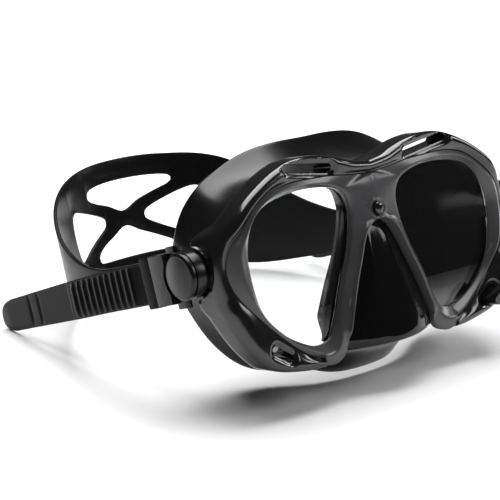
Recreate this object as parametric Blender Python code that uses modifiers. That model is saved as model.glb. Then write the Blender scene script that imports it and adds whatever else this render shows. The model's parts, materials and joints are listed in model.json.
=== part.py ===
"""A two-lens diving mask: gloss outer frame, inner bezel, silicone skirt with nose pocket,
swivel buckles with pinch release, and a silicone head strap with a lattice at the back.

Metres, +Z up. The mask faces -Y and lies on a table: it leans back on the bottom of its skirt,
and its strap falls behind it, so that Z = 0 is the table. The wearer's right is at -X.
All dimensions below are in millimetres and degrees.
"""
import math

import bmesh
import bpy
from mathutils import Matrix, Vector

MM = 0.001

# --- Placement -------------------------------------------------------------------------------
LENS_HEIGHT = 55.5          # middle of the lenses above the table
LEAN_BACK = 11.57           # the lens plane leans back
ORIGIN_BACK = 81.6          # from the lens plane to the middle of the object, front to back

# --- Lenses, bezel and outer frame (seen from the front: x outward, z up) ----------------------
LENS_THICKNESS = 3.2
LENS_MARGIN = 1.2           # the glass reaches this far behind the bezel
BEZEL_FRONT = -4.6
BEZEL_BACK = -0.3
FRAME_FRONT = -4.2
FRAME_BACK = 7.6
GAP = 0.3
WRAP_START = 64.2           # outside this the front sweeps back
WRAP_DEPTH = 7.0            # sweep at the outer edge
HALF_WIDTH = 76.5

APERTURE = [(38, 26.4), (51.5, 23.9), (59, 18), (62.8, 8), (62.6, -4), (59.5, -16), (52, -25),
            (44, -30.5), (36, -33.4), (29.4, -31.5), (25.4, -25), (21, -14), (15.4, -1), (12.4, 10),
            (12.4, 18), (16.3, 23.5), (25, 26)]
FRAME_OUTLINE = [(0, 32.5), (8, 33.8), (15, 36.2), (22, 38), (30, 38.9), (38, 38.4), (45, 36.4),
                 (52, 33.2), (59.6, 28.6), (65.4, 24), (70.4, 18.6), (74.6, 11.6), (76.5, 3), (76.3, -6),
                 (74.5, -15), (71, -24), (67, -31), (62, -36.2), (56, -39), (48, -40.8),
                 (41, -41.8), (35.3, -41.9)]
CREASE = [(0, 27.6), (10, 28.4), (20, 29.6), (30, 30.1), (40, 30.1), (50, 28.2), (58, 23.4),
          (65, 17), (70.5, 11), (72.3, 3), (70.8, -5.5), (66, -13.5), (58, -22), (48.5, -30.8),
          (41, -36.2), (35.3, -38.6)]
LOWER_CORNER = [(34.9, -42), (30, -42), (25.6, -40.4), (23.2, -37)]
NOSE_ARCH = [(22.6, -33), (19.4, -23), (15.8, -13), (12.2, -4.6), (9.2, 2.6), (6.4, 6.9), (3.2, 9), (0, 9.6)]

BROW_SLOT = dict(centre=(30.6, 34.3), length=24.0, width=3.6, tilt=8.0)
CHEEK_SLOT = dict(centre=(55.0, -32.4), length=10.5, width=3.6, tilt=-145.0)

# --- Side arms and the buckle pivots ----------------------------------------------------------
PIVOT_Y, PIVOT_Z = 14.0, 2.7
ARM_INNER, ARM_OUTER = 73.4, 77.6
TONGUE_INNER, TONGUE_OUTER = 72.5, 75.0
RECESS_RADIUS = 9.9
ARM_OUTLINE = [(1.0, 17.5), (5.0, 18.2), (9.5, 17.0), (12.6, 15.6), (14.0, 13.4), (22.0, 13.4),
               (22.0, -8.2), (10.4, -8.2), (10.0, -10.6), (6.0, -12.0), (1.0, -13.6)]

# --- Skirt (x, z, depth behind the lens plane), right half from the top to the bottom ----------
SKIRT_THICKNESS = 1.7
SKIRT_FRONT = [(0, 25.8, 4.2), (10, 26.6, 4.2), (25, 28.0, 4.2), (40, 28.2, 4.2), (50, 26.0, 4.2),
               (58, 20.6, 4.2), (64, 15.2, 4.4), (68.6, 9.6, 4.8), (70.2, 3, 5.0),
               (68.8, -5.2, 4.8), (64, -12.8, 4.4), (56, -21.2, 4.2), (47, -29.6, 4.2),
               (39.6, -35, 4.2), (33, -37.6, 4.0), (27, -38.6, 2.6), (21, -39.4, -1.8),
               (14.5, -39.3, -7.6), (7.5, -39.5, -10.6), (0, -39.6, -11.6)]
SKIRT_REAR = [(0, 43.5, 36), (15, 43.5, 36.4), (28, 42, 37.4), (39, 38.4, 39), (51, 32, 41),
              (59.5, 23, 43), (64.5, 12, 44), (66.2, 2, 44.4), (65.4, -8, 44), (62, -19, 42.4),
              (57, -30, 39.6), (50.5, -38.6, 36.4), (43.5, -43.6, 33), (36.5, -45.4, 29.4),
              (30, -45.8, 25.6), (24.5, -47.4, 22), (18, -49.8, 19), (12, -51.0, 17.4),
              (6, -51.4, 16.8), (0, -51.5, 16.6)]
SKIRT_STEPS = 5             # rings between the front and the rear edge
LIP_INWARD = 9.0            # the face seal turns in by this much
LIP_FORWARD = 3.0
POCKET_ROWS = 8
POCKET_TOP = (3.6, 12.0)    # half width and height of the pocket's narrow top
POCKET_FLANGE = 0.9         # the pocket's edge behind the bezel
POCKET_EDGE, POCKET_BULGE = 1.2, 12.0

# --- Buckle: o outward from the tongue, a along the strap, h up across it -----------------------
STRAP_SLOPE = 19.5          # the strap falls behind the buckle
CAP_RADIUS = 9.0
HOUSING_HALF_HEIGHT = 9.8
HOUSING_BACK = 17.6
HOUSING_BASE = (0.35, 7.0)  # from the tongue to under the cap
SADDLE_TOP = 9.9
POST_RADIUS = 3.0
POST_HEAD = 4.8
ROLLER_A, ROLLER_O = 15.2, 4.1
ROLLER_RADIUS = 1.8
ROLLER_PIN_RADIUS = 0.8
BUTTON_A = (2.9, 10.9)
BUTTON_O = (3.0, 6.4)
BUTTON_H = (6.4, 12.0)
BUTTON_SHOULDER = 8.4      # the shoulder that keeps the button in, across the strap
PAWL = dict(a=(8.4, 10.9), o=(2.8, 5.4), half_height=4.6)
SPRING_A, SPRING_O, SPRING_RADIUS, SPRING_WIRE = 6.3, 4.6, 1.25, 0.2
SPRING_TURNS = 6
KEEPER = dict(a=(17.9, 25.2), half_height=10.0, inner_half_height=9.0, o=(-1.0, 9.3), inner_o=(-0.1, 8.4))

# --- Strap -------------------------------------------------------------------------------------
STRAP_THICKNESS = 1.8
TAIL_END = {-1: 147.0, 1: 134.0}    # from the pivot to the tip of each tail
TAIL_HALF_WIDTH = (8.5, 8.1, 6.9)  # at the buckle, half-way and near the tip
TAIL_DROOP = {-1: 2.3, 1: 4.0}      # each tip hangs lower than the straight line of the tail
BAND_STEP = 2.0                     # the band's direction is taken over this distance each way
RIB_START, RIB_PITCH, RIB_COUNT = 34.0, 4.5, 11
RIB_HEIGHT, RIB_WIDTH = 0.9, 2.3
BAND_HALF_WIDTH = 28.8
# Centre line of the band behind the head: x, y, z on the table, half its width, and its lean outward.
BAND = [(-76.8, 50, 42.5, 8.5, 0), (-78.7, 73, 34.9, 8.9, 1), (-76.0, 94.5, 30.6, 11, 4),
        (-69, 117, 28.5, 16.8, 8), (-56, 139, 28.0, 23.0, 10), (-39, 158.5, 28.8, 26.7, 10),
        (-20, 171.5, 29.5, 28.4, 10), (0, 176.5, 29.6, BAND_HALF_WIDTH, 10), (21, 174.5, 29.5, 28.4, 10),
        (42, 163.5, 28.7, 26.6, 10), (59.5, 144.5, 22.8, 20.2, 8), (71.3, 121, 21.8, 12.8, 5),
        (77.2, 97, 24.6, 8.9, 2), (79.0, 74, 32.1, 8.9, 0), (76.8, 50, 42.5, 8.5, 0)]
# Openings of the lattice on the flat band: along it from the middle, and up from its centre line.
TOP_OPENING = [(0, 3.7), (9, 7.6), (19, 11.4), (25.6, 14.2), (26.4, 16.8), (22, 18.2), (8, 18.8), (-8, 18.8),
               (-19, 18.0), (-22.4, 16.4), (-22.2, 13.6), (-17, 10.6), (-9, 7.6)]
SIDE_OPENING = [(11.5, 0), (14.5, 3.4), (30, 9.8), (38, 11.8), (42.5, 8.8), (44, 0), (42.5, -8.8),
                (38, -11.8), (30, -9.8), (14.5, -3.4)]


# --- Small geometry helpers ---------------------------------------------------------------------
def smooth(points, count, closed=False):
    """Points evenly spaced along a Catmull-Rom curve through the given ones."""
    pts = [Vector(p) for p in points]
    if closed:
        pts = pts + [pts[0]]
        before, after = pts[-2], pts[1]
    else:
        before, after = 2 * pts[0] - pts[1], 2 * pts[-1] - pts[-2]
    run = [before] + pts + [after]
    dense = []
    for i in range(1, len(run) - 2):
        p0, p1, p2, p3 = run[i - 1:i + 3]
        for k in range(16):
            t = k / 16
            dense.append(0.5 * (2 * p1 + (p2 - p0) * t + (2 * p0 - 5 * p1 + 4 * p2 - p3) * t * t
                                + (3 * p1 - p0 - 3 * p2 + p3) * t ** 3))
    dense.append(pts[-1])
    lengths = [0.0]
    for a, b in zip(dense, dense[1:]):
        lengths.append(lengths[-1] + (b - a).length)
    result = []
    steps = count if closed else count - 1
    j = 0
    for i in range(count):
        want = lengths[-1] * i / steps
        while j < len(lengths) - 2 and lengths[j + 1] < want:
            j += 1
        span = lengths[j + 1] - lengths[j]
        f = (want - lengths[j]) / span if span > 0 else 0.0
        result.append(dense[j].lerp(dense[j + 1], min(max(f, 0.0), 1.0)))
    return result


def offset(points, distance, closed=False):
    """Moves a run of 2-D points sideways, to the left of their direction."""
    moved = []
    n = len(points)
    for i, p in enumerate(points):
        before = points[(i - 1) % n] if closed or i > 0 else p
        after = points[(i + 1) % n] if closed or i < n - 1 else p
        along = (after - before).normalized()
        moved.append(Vector((p.x - along.y * distance, p.y + along.x * distance)))
    return moved


def mirrored(points):
    return [Vector((-p[0],) + tuple(p[1:])) for p in reversed(points)]


def slot_outline(centre, length, width, tilt, arc_points=7):
    """A round-ended slot, its long axis turned by tilt degrees."""
    half = (length - width) / 2
    turn = math.radians(tilt)
    points = []
    for end, start in ((half, -90), (-half, 90)):
        for k in range(arc_points):
            angle = math.radians(start + 180 * k / (arc_points - 1))
            x = end + width / 2 * math.cos(angle)
            y = width / 2 * math.sin(angle)
            points.append(Vector((centre[0] + x * math.cos(turn) - y * math.sin(turn),
                                  centre[1] + x * math.sin(turn) + y * math.cos(turn))))
    return points


def wrap(x):
    """How far the front of the mask sweeps back at a distance x from the middle."""
    past = max(0.0, abs(x) - WRAP_START) / (HALF_WIDTH - WRAP_START)
    return WRAP_DEPTH * past ** 1.6


# --- Blender helpers ----------------------------------------------------------------------------
def clear_scene():
    for item in list(bpy.data.objects):
        bpy.data.objects.remove(item, do_unlink=True)


def material(name, colour, roughness, metallic=0.0, alpha=1.0, transmission=0.0):
    mat = bpy.data.materials.new(name)
    mat.use_nodes = True
    shader = mat.node_tree.nodes["Principled BSDF"]
    shader.inputs["Base Color"].default_value = (*colour, 1.0)
    shader.inputs["Roughness"].default_value = roughness
    shader.inputs["Metallic"].default_value = metallic
    shader.inputs["Alpha"].default_value = alpha
    shader.inputs["Transmission Weight"].default_value = transmission
    return mat


def add_object(name, mesh, mat, parent):
    obj = bpy.data.objects.new(name, mesh)
    parts.objects.link(obj)
    obj.parent = parent
    if mat:
        mesh.materials.clear()
        mesh.materials.append(mat)
    return obj


def face_outward(bm):
    bmesh.ops.recalc_face_normals(bm, faces=bm.faces)
    if bm.calc_volume(signed=True) < 0:
        bmesh.ops.reverse_faces(bm, faces=bm.faces)


def object_from_bmesh(name, bm, mat, parent, soften=None):
    """Turns a bmesh drawn in millimetres into a named object in metres."""
    face_outward(bm)
    mesh = bpy.data.meshes.new(name)
    bmesh.ops.scale(bm, vec=(MM, MM, MM), verts=bm.verts)
    bm.to_mesh(mesh)
    bm.free()
    if soften:
        mesh.shade_smooth()
        mesh.set_sharp_from_angle(angle=math.radians(soften))
    return add_object(name, mesh, mat, parent)


def extruded(loops, low, high):
    """A bmesh of a flat outline, its first loop, with holes, the other loops, along local Z."""
    curve = bpy.data.curves.new("outline", "CURVE")
    curve.dimensions = "2D"
    curve.fill_mode = "BOTH"
    curve.extrude = (high - low) / 2
    for points in loops:
        spline = curve.splines.new("POLY")
        spline.points.add(len(points) - 1)
        for item, p in zip(spline.points, points):
            item.co = (p[0], p[1], 0, 1)
        spline.use_cyclic_u = True
    holder = bpy.data.objects.new("outline", curve)
    bpy.context.scene.collection.objects.link(holder)
    shape = holder.evaluated_get(bpy.context.evaluated_depsgraph_get())
    mesh = bpy.data.meshes.new_from_object(shape)
    bm = bmesh.new()
    bm.from_mesh(mesh)
    bpy.data.objects.remove(holder, do_unlink=True)
    bpy.data.curves.remove(curve)
    bpy.data.meshes.remove(mesh)
    bmesh.ops.remove_doubles(bm, verts=bm.verts, dist=1e-4)
    bmesh.ops.translate(bm, vec=(0, 0, (high + low) / 2), verts=bm.verts)
    return bm


def slice_along(bm, axis, places):
    """Adds edges across the mesh where it will bend."""
    for place in places:
        geometry = bm.verts[:] + bm.edges[:] + bm.faces[:]
        point = axis * place
        bmesh.ops.bisect_plane(bm, geom=geometry, plane_co=point, plane_no=axis, dist=1e-5)
    bmesh.ops.triangulate(bm, faces=bm.faces)


def box(name, low, high, mat, parent, rounding=0.0):
    bm = bmesh.new()
    bmesh.ops.create_cube(bm, size=1.0)
    size = [b - a for a, b in zip(low, high)]
    middle = [(a + b) / 2 for a, b in zip(low, high)]
    bmesh.ops.scale(bm, vec=size, verts=bm.verts)
    bmesh.ops.translate(bm, vec=middle, verts=bm.verts)
    if rounding:
        bmesh.ops.bevel(bm, geom=bm.edges[:], offset=rounding, segments=2, affect="EDGES", profile=0.5)
    return object_from_bmesh(name, bm, mat, parent)


def cylinder(name, radius, low, high, axis, centre, mat, parent, sides=24):
    """A cylinder from low to high along a local axis through centre."""
    bm = bmesh.new()
    bmesh.ops.create_cone(bm, cap_ends=True, segments=sides, radius1=radius, radius2=radius,
                          depth=high - low)
    bmesh.ops.translate(bm, vec=(0, 0, (high + low) / 2), verts=bm.verts)
    turn = Vector((0, 0, 1)).rotation_difference(Vector(axis)).to_matrix()
    bmesh.ops.rotate(bm, matrix=turn, verts=bm.verts)
    bmesh.ops.translate(bm, vec=centre, verts=bm.verts)
    return object_from_bmesh(name, bm, mat, parent, soften=40)


def turned(name, profile, axis_turn, mat, parent, sides=28):
    """A closed profile of (radius, height) points turned about an axis."""
    bm = bmesh.new()
    points = [bm.verts.new((r, 0, z)) for r, z in profile]
    edges = [bm.edges.new(pair) for pair in zip(points, points[1:])]
    if profile[0][0] > 0:
        edges.append(bm.edges.new((points[-1], points[0])))
    bmesh.ops.spin(bm, geom=points + edges, axis=(0, 0, 1), cent=(0, 0, 0), angle=math.tau,
                   steps=sides, use_merge=True)
    bmesh.ops.remove_doubles(bm, verts=bm.verts, dist=1e-4)
    bmesh.ops.rotate(bm, matrix=axis_turn, verts=bm.verts)
    return object_from_bmesh(name, bm, mat, parent, soften=40)


def combine(target, others, operation):
    """Joins or cuts with Boolean modifiers, and moves the tools to the cutters' collection."""
    for tool in others:
        modifier = target.modifiers.new(operation.title(), "BOOLEAN")
        modifier.operation = operation
        modifier.solver = "EXACT"
        modifier.object = tool
        parts.objects.unlink(tool)
        cutters.objects.link(tool)
        tool.hide_render = True
        tool.display_type = "WIRE"
    return target


def bevelled(obj, width, segments=2, angle=35):
    modifier = obj.modifiers.new("Bevel", "BEVEL")
    modifier.width = width * MM
    modifier.segments = segments
    modifier.limit_method = "ANGLE"
    modifier.angle_limit = math.radians(angle)
    return obj


def frozen(obj):
    """The object with its modifiers applied, so that it can be copied to the other side."""
    bpy.context.view_layer.update()
    shape = obj.evaluated_get(bpy.context.evaluated_depsgraph_get())
    mesh = bpy.data.meshes.new_from_object(shape)
    obj.modifiers.clear()
    obj.data = mesh
    return obj


def other_side(obj, name, parent):
    """A mirror image across X = 0, under the matching parent."""
    mesh = frozen(obj).data.copy()
    mesh.name = name
    bm = bmesh.new()
    bm.from_mesh(mesh)
    bmesh.ops.scale(bm, vec=(-1, 1, 1), verts=bm.verts)
    bmesh.ops.reverse_faces(bm, faces=bm.faces)
    bm.to_mesh(mesh)
    bm.free()
    return add_object(name, mesh, None, parent)


# --- The mask itself: everything is drawn upright, and its empty leans it back -------------------
FRONT_VIEW = Matrix.Rotation(math.radians(90), 3, "X")      # local XY becomes x, z, and local Z becomes -y
SWEEP_SLICES = (64.2, 66, 68, 70, 72, 74, 75.5)             # a plate's faces are split here, so that it can bend


def front_plate(name, loops, front, back, mat, parent):
    """A plate drawn from the front, from depth front to depth back, swept back at its sides."""
    bm = extruded(loops, -back, -front)
    bmesh.ops.rotate(bm, matrix=FRONT_VIEW, verts=bm.verts)
    slice_along(bm, Vector((1, 0, 0)), [side * x for side in (-1, 1) for x in SWEEP_SLICES])
    for vert in bm.verts:
        vert.co.y += wrap(vert.co.x)
    return object_from_bmesh(name, bm, mat, parent)


def build_lens(name, side, parent):
    outline = offset(smooth(APERTURE, 44, closed=True), LENS_MARGIN, closed=True)
    bm = extruded([[Vector((side * p.x, p.y)) for p in outline]], -LENS_THICKNESS, 0.0)
    bmesh.ops.rotate(bm, matrix=FRONT_VIEW, verts=bm.verts)
    return object_from_bmesh(name, bm, glass, parent)


def build_bezel(parent):
    crease = offset(smooth(CREASE, 26), -GAP)
    crease[0].x = 0.0
    half = crease + [Vector(p) for p in LOWER_CORNER] + smooth(NOSE_ARCH, 12)
    outline = half[:-1] + mirrored(half)[:-1]
    aperture = smooth(APERTURE, 44, closed=True)
    loops = [outline, aperture, mirrored(aperture)]
    bezel = front_plate("inner_bezel", loops, BEZEL_FRONT, BEZEL_BACK, satin_plastic, parent)
    return bezel


def build_outer_frame(parent):
    outer = smooth(FRAME_OUTLINE, 34)
    inner = smooth(CREASE, 26)
    half = outer + list(reversed(inner))
    left = [Vector((-p.x, p.y)) for p in half]
    outline = half[:-1] + list(reversed(left))[:-1]
    slots = []
    for slot in (BROW_SLOT, CHEEK_SLOT):
        hole = slot_outline(**slot)
        slots += [hole, mirrored(hole)]
    frame = front_plate("outer_frame", [outline] + slots, FRAME_FRONT, FRAME_BACK, gloss_plastic, parent)
    for side in (-1, 1):
        combine(frame, [arm_block(side, parent), tongue_block(side, parent)], "UNION")
        spot = (0, PIVOT_Y, PIVOT_Z)
        outward = (side, 0, 0)
        combine(frame, [
            cylinder("buckle_recess", RECESS_RADIUS, TONGUE_OUTER, 90, outward, spot, None, parent, 40),
            cylinder("post_hole", POST_RADIUS + GAP, 60, 90, outward, spot, None, parent),
            cylinder("post_head_pocket", POST_HEAD + 2 * GAP, 60, TONGUE_INNER, outward, spot, None, parent),
        ], "DIFFERENCE")
    return frame


def side_plate(outline, inner, outer, side):
    """A plate drawn from the side as (y, z), between two distances from the middle."""
    bm = extruded([outline], inner, outer)
    for vert in bm.verts:
        y, z, x = vert.co
        vert.co = (side * x, y, z)
    return bm


def arm_block(side, parent):
    """The outer layer of the side arm, with its round recess about the buckle."""
    bm = side_plate(ARM_OUTLINE, ARM_INNER, ARM_OUTER, side)
    arm = object_from_bmesh("arm_block", bm, None, parent)
    trim = box("arm_trim", [min(side * 70, side * 90), PIVOT_Y - 1, -30],
               [max(side * 70, side * 90), 40, 40], None, parent)
    combine(arm, [trim], "DIFFERENCE")
    return frozen(arm)


def tongue_block(side, parent):
    """The thin inner layer of the arm, which carries the pivot post."""
    outline = [(3.0, PIVOT_Z + 9)]
    for k in range(17):
        angle = math.radians(90 - 180 * k / 16)
        outline.append((PIVOT_Y + 8.6 * math.cos(angle), PIVOT_Z + 8.6 * math.sin(angle)))
    outline.append((3.0, PIVOT_Z - 9))
    bm = side_plate(outline, TONGUE_INNER, TONGUE_OUTER, side)
    return object_from_bmesh("tongue_block", bm, None, parent)


def build_skirt(parent):
    """One shell: the wall from the lenses to the face, its turned-in seal, and the nose pocket."""
    per_side = 24
    front = smooth(SKIRT_FRONT, per_side)
    rear = smooth(SKIRT_REAR, per_side)
    front_ring = mirrored(front)[:-1] + front[:-1]
    rear_ring = mirrored(rear)[:-1] + rear[:-1]
    count = len(front_ring)
    bm = bmesh.new()
    rings = []
    for k in range(SKIRT_STEPS + 1):
        t = k / SKIRT_STEPS
        spread = t ** 2.1
        rings.append([bm.verts.new((a.x + (b.x - a.x) * spread, a.z + (b.z - a.z) * t,
                                    a.y + (b.y - a.y) * spread)) for a, b in zip(front_ring, rear_ring)])
    for turn_in, forward in ((0.45, 0.1), (1.0, 1.0)):
        ring = []
        for p in rear_ring:
            inward = Vector((p.x, p.y)).normalized() * LIP_INWARD * turn_in
            ring.append(bm.verts.new((p.x - inward.x, p.z - LIP_FORWARD * forward, p.y - inward.y)))
        rings.append(ring)
    for low, high in zip(rings, rings[1:]):
        for i in range(count):
            j = (i + 1) % count
            bm.faces.new((low[i], low[j], high[j], high[i]))
    add_nose_pocket(bm, rings[0])
    skirt = object_from_bmesh("skirt", bm, silicone, parent, soften=50)
    shell = skirt.modifiers.new("Solidify", "SOLIDIFY")
    shell.thickness = SKIRT_THICKNESS * MM
    shell.offset = -1.0
    shell.use_even_offset = True
    return skirt


def arch_half_width(z):
    """Half the width of the bezel's nose arch at a height."""
    points = [Vector(p) for p in NOSE_ARCH]
    for low, high in zip(points, points[1:]):
        if low.y <= z <= high.y:
            return low.x + (high.x - low.x) * (z - low.y) / (high.y - low.y)
    return points[0].x if z < points[0].y else 0.0


def add_nose_pocket(bm, front_ring):
    """A tapering cover that bulges through the nose arch, joined to the front of the lower lip."""
    lip = sorted((v for v in front_ring if abs(v.co.x) < 23.5 and v.co.z < -30), key=lambda v: v.co.x)
    half_lip = lip[-1].co.x
    rows = [lip]
    for r in range(1, POCKET_ROWS + 1):
        t = r / POCKET_ROWS
        row = []
        for v in lip:
            u = v.co.x / half_lip
            z = v.co.z + (POCKET_TOP[1] - v.co.z) * t
            half = max(arch_half_width(z) + POCKET_FLANGE, POCKET_TOP[0])
            bulge = (1 - t) ** 0.8 * max(0.0, 1 - abs(u) ** 2.2)
            row.append(bm.verts.new((u * half, POCKET_EDGE - POCKET_BULGE * bulge, z)))
        rows.append(row)
    for low, high in zip(rows, rows[1:]):
        for i in range(len(lip) - 1):
            bm.faces.new((low[i], low[i + 1], high[i + 1], high[i]))


# --- Buckles: drawn for the right side in the buckle's own axes, then mirrored --------------------
def from_buckle(o, a, h):
    """Local position, on the right side, of a point given outward, along and across the strap."""
    return Vector((-o, a, h))


def buckle_plate(name, loops, low, high, mat, parent):
    """A plate drawn as (along, across) loops, between two outward distances."""
    bm = extruded(loops, low, high)
    for vert in bm.verts:
        a, h, o = vert.co
        vert.co = from_buckle(o, a, h)
    return object_from_bmesh(name, bm, mat, parent)


def buckle_bar(name, outline, half_height, mat, parent):
    """A bar drawn as an (along, outward) outline, reaching half_height each way across the strap."""
    bm = extruded([outline], -half_height, half_height)
    for vert in bm.verts:
        a, o, h = vert.co
        vert.co = from_buckle(o, a, h)
    return object_from_bmesh(name, bm, mat, parent)


def buckle_box(name, a, o, h, mat, parent, rounding=0.0):
    corners = [from_buckle(o[0], a[0], h[0]), from_buckle(o[1], a[1], h[1])]
    low = [min(c) for c in zip(*corners)]
    high = [max(c) for c in zip(*corners)]
    return box(name, low, high, mat, parent, rounding)


OUTWARD = Matrix.Rotation(math.radians(-90), 3, "Y")        # local Z of a turned shape becomes -x


def housing_outline():
    points = [(HOUSING_BACK, -HOUSING_HALF_HEIGHT), (HOUSING_BACK, HOUSING_HALF_HEIGHT),
              (6.5, HOUSING_HALF_HEIGHT)]
    for k in range(19):
        angle = math.radians(90 + 180 * k / 18)
        points.append((CAP_RADIUS * math.cos(angle), CAP_RADIUS * math.sin(angle)))
    points.append((6.5, -HOUSING_HALF_HEIGHT))
    return points


def build_housing(parent):
    half = HOUSING_HALF_HEIGHT
    housing = buckle_plate("right_buckle_housing", [housing_outline()], *HOUSING_BASE, gloss_plastic, parent)
    saddle = buckle_box("saddle", (7.4, HOUSING_BACK - 0.4), (5.0, SADDLE_TOP), (0.2 - half, half - 0.2),
                        None, parent)
    combine(housing, [saddle], "UNION")
    axis = from_buckle(1, 0, 0)
    across = (0, 0, 1)
    button_a = (BUTTON_A[0] - GAP, BUTTON_A[1] + GAP)
    button_o = (BUTTON_O[0] - GAP, BUTTON_O[1] + GAP)
    spring = SPRING_RADIUS + 2 * SPRING_WIRE + 0.1
    pins = from_buckle(ROLLER_O, ROLLER_A, 0)
    cuts = [
        cylinder("cap_recess", CAP_RADIUS + GAP, HOUSING_BASE[1] + 0.05, 20, axis, (0, 0, 0), None,
                 parent, 40),
        cylinder("post_bore", POST_RADIUS + GAP, -1, 9, axis, (0, 0, 0), None, parent),
        cylinder("clip_pocket", 4.7, 4.6, 9, axis, (0, 0, 0), None, parent),
        cylinder("roller_pin_bore", ROLLER_PIN_RADIUS + GAP, -20, 20, across, pins, None, parent, 16),
        buckle_box("strap_channel", (10.95, 40), (-1, 8.35), (-8.8, 8.8), None, parent),
        buckle_box("pawl_slot", (7.2, 12), (2.5, 5.7), (-4.9, 4.9), None, parent),
        buckle_box("spring_tunnel", (SPRING_A - spring, SPRING_A + spring),
                   (SPRING_O - spring, SPRING_O + spring), (-7, 7), None, parent),
    ]
    for low, high, way in ((4.6, 8.75, 1), (-8.75, -4.6, -1)):
        cuts.append(buckle_box("button_pocket", button_a, button_o, (low, high), None, parent))
        opening = button_nub("button_opening", way, 8.0, 14.0, GAP, None, parent)
        cuts.append(opening)
    combine(housing, cuts, "DIFFERENCE")
    return housing


def button_nub(name, way, low, high, margin, mat, parent):
    """The round-ended part of a release button, way up or down across the strap."""
    outline = slot_outline(((BUTTON_A[0] + BUTTON_A[1]) / 2, (BUTTON_O[0] + BUTTON_O[1]) / 2),
                           BUTTON_A[1] - BUTTON_A[0] - 0.6 + 2 * margin,
                           BUTTON_O[1] - BUTTON_O[0] - 0.5 + 2 * margin, 0, 9)
    bm = extruded([outline], low, high)
    for vert in bm.verts:
        a, o, h = vert.co
        vert.co = from_buckle(o, a, way * h)
    return object_from_bmesh(name, bm, mat, parent)


def build_button(name, way, parent):
    low, high = sorted((way * BUTTON_H[0], way * BUTTON_SHOULDER))
    shoulder = buckle_box(name, BUTTON_A, BUTTON_O, (low, high), gloss_plastic, parent)
    nub = button_nub("nub", way, BUTTON_SHOULDER - 1, BUTTON_H[1], 0.0, None, parent)
    bevelled(nub, 0.5, 2)
    frozen(nub)
    return combine(shoulder, [nub], "UNION")


def build_cap(parent):
    rim, top = HOUSING_BASE[1] + GAP, 10.7
    profile = [(0, rim), (CAP_RADIUS - 0.3, rim), (CAP_RADIUS, rim + 0.3)]
    for k in range(1, 9):
        angle = math.radians(90 * k / 8)
        height = rim + 0.9 + (top - rim - 0.9) * math.sin(angle)
        profile.append((CAP_RADIUS * math.cos(angle) ** 0.8, height))
    profile[-1] = (0, top)
    return turned("right_buckle_cap", profile, OUTWARD, gloss_plastic, parent, sides=28)


def build_spring(parent):
    """One coil spring pushes the two release buttons apart."""
    curve = bpy.data.curves.new("coil", "CURVE")
    curve.dimensions = "3D"
    curve.bevel_depth = SPRING_WIRE * MM
    curve.bevel_resolution = 0
    curve.use_fill_caps = True
    spline = curve.splines.new("POLY")
    steps = SPRING_TURNS * 8
    spline.points.add(steps)
    for k, point in enumerate(spline.points):
        angle = math.tau * k / 8
        height = (k / steps - 0.5) * 2 * (BUTTON_H[0] - 2 * SPRING_WIRE)
        place = from_buckle(SPRING_O + SPRING_RADIUS * math.cos(angle),
                            SPRING_A + SPRING_RADIUS * math.sin(angle), height)
        point.co = (*(place * MM), 1)
    holder = bpy.data.objects.new("coil", curve)
    bpy.context.scene.collection.objects.link(holder)
    mesh = bpy.data.meshes.new_from_object(holder.evaluated_get(bpy.context.evaluated_depsgraph_get()))
    bpy.data.objects.remove(holder, do_unlink=True)
    bm = bmesh.new()
    bm.from_mesh(mesh)
    bmesh.ops.remove_doubles(bm, verts=bm.verts, dist=1e-6)
    face_outward(bm)
    bm.to_mesh(mesh)
    bm.free()
    return add_object("right_button_spring", mesh, steel, parent)


def build_roller(parent):
    low = Vector((ROLLER_PIN_RADIUS + GAP, 8.3))
    high = Vector((ROLLER_RADIUS, 8.3))
    profile = [(low.x, -low.y), (high.x, -high.y), (high.x, high.y), (low.x, low.y)]
    roller = turned("right_strap_roller", profile, Matrix.Identity(3), satin_plastic, parent, sides=24)
    roller.location = from_buckle(ROLLER_O, ROLLER_A, 0) * MM
    return roller


def build_keeper(parent):
    k = KEEPER
    keeper = buckle_box("right_strap_keeper", k["a"], k["o"], (-k["half_height"], k["half_height"]),
                        satin_plastic, parent, rounding=0.6)
    inner = buckle_box("keeper_opening", (0, 50), k["inner_o"],
                       (-k["inner_half_height"], k["inner_half_height"]), None, parent)
    return combine(keeper, [inner], "DIFFERENCE")


def build_buckle(right, left):
    """All pieces of one buckle, and their mirror images on the other side."""
    middle = from_buckle(ROLLER_O, ROLLER_A, 0)
    pawl_outline = [(PAWL["a"][0], PAWL["o"][0]), (9.7, PAWL["o"][0]), (PAWL["a"][1], ROLLER_O),
                    (9.7, PAWL["o"][1]), (PAWL["a"][0], PAWL["o"][1])]
    pieces = [
        build_housing(right),
        build_cap(right),
        build_button("right_release_button_upper", 1, right),
        build_button("right_release_button_lower", -1, right),
        build_spring(right),
        buckle_bar("right_lock_pawl", pawl_outline, PAWL["half_height"], steel, right),
        cylinder("right_roller_pin", ROLLER_PIN_RADIUS, -9.6, 9.6, (0, 0, 1), middle, steel, right, 12),
        build_keeper(right),
    ]
    for piece in pieces:
        other_side(piece, piece.name.replace("right", "left"), left)
    roller = build_roller(right)
    twin = other_side(roller, "left_strap_roller", left)
    twin.location = (-roller.location.x, roller.location.y, roller.location.z)


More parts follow.
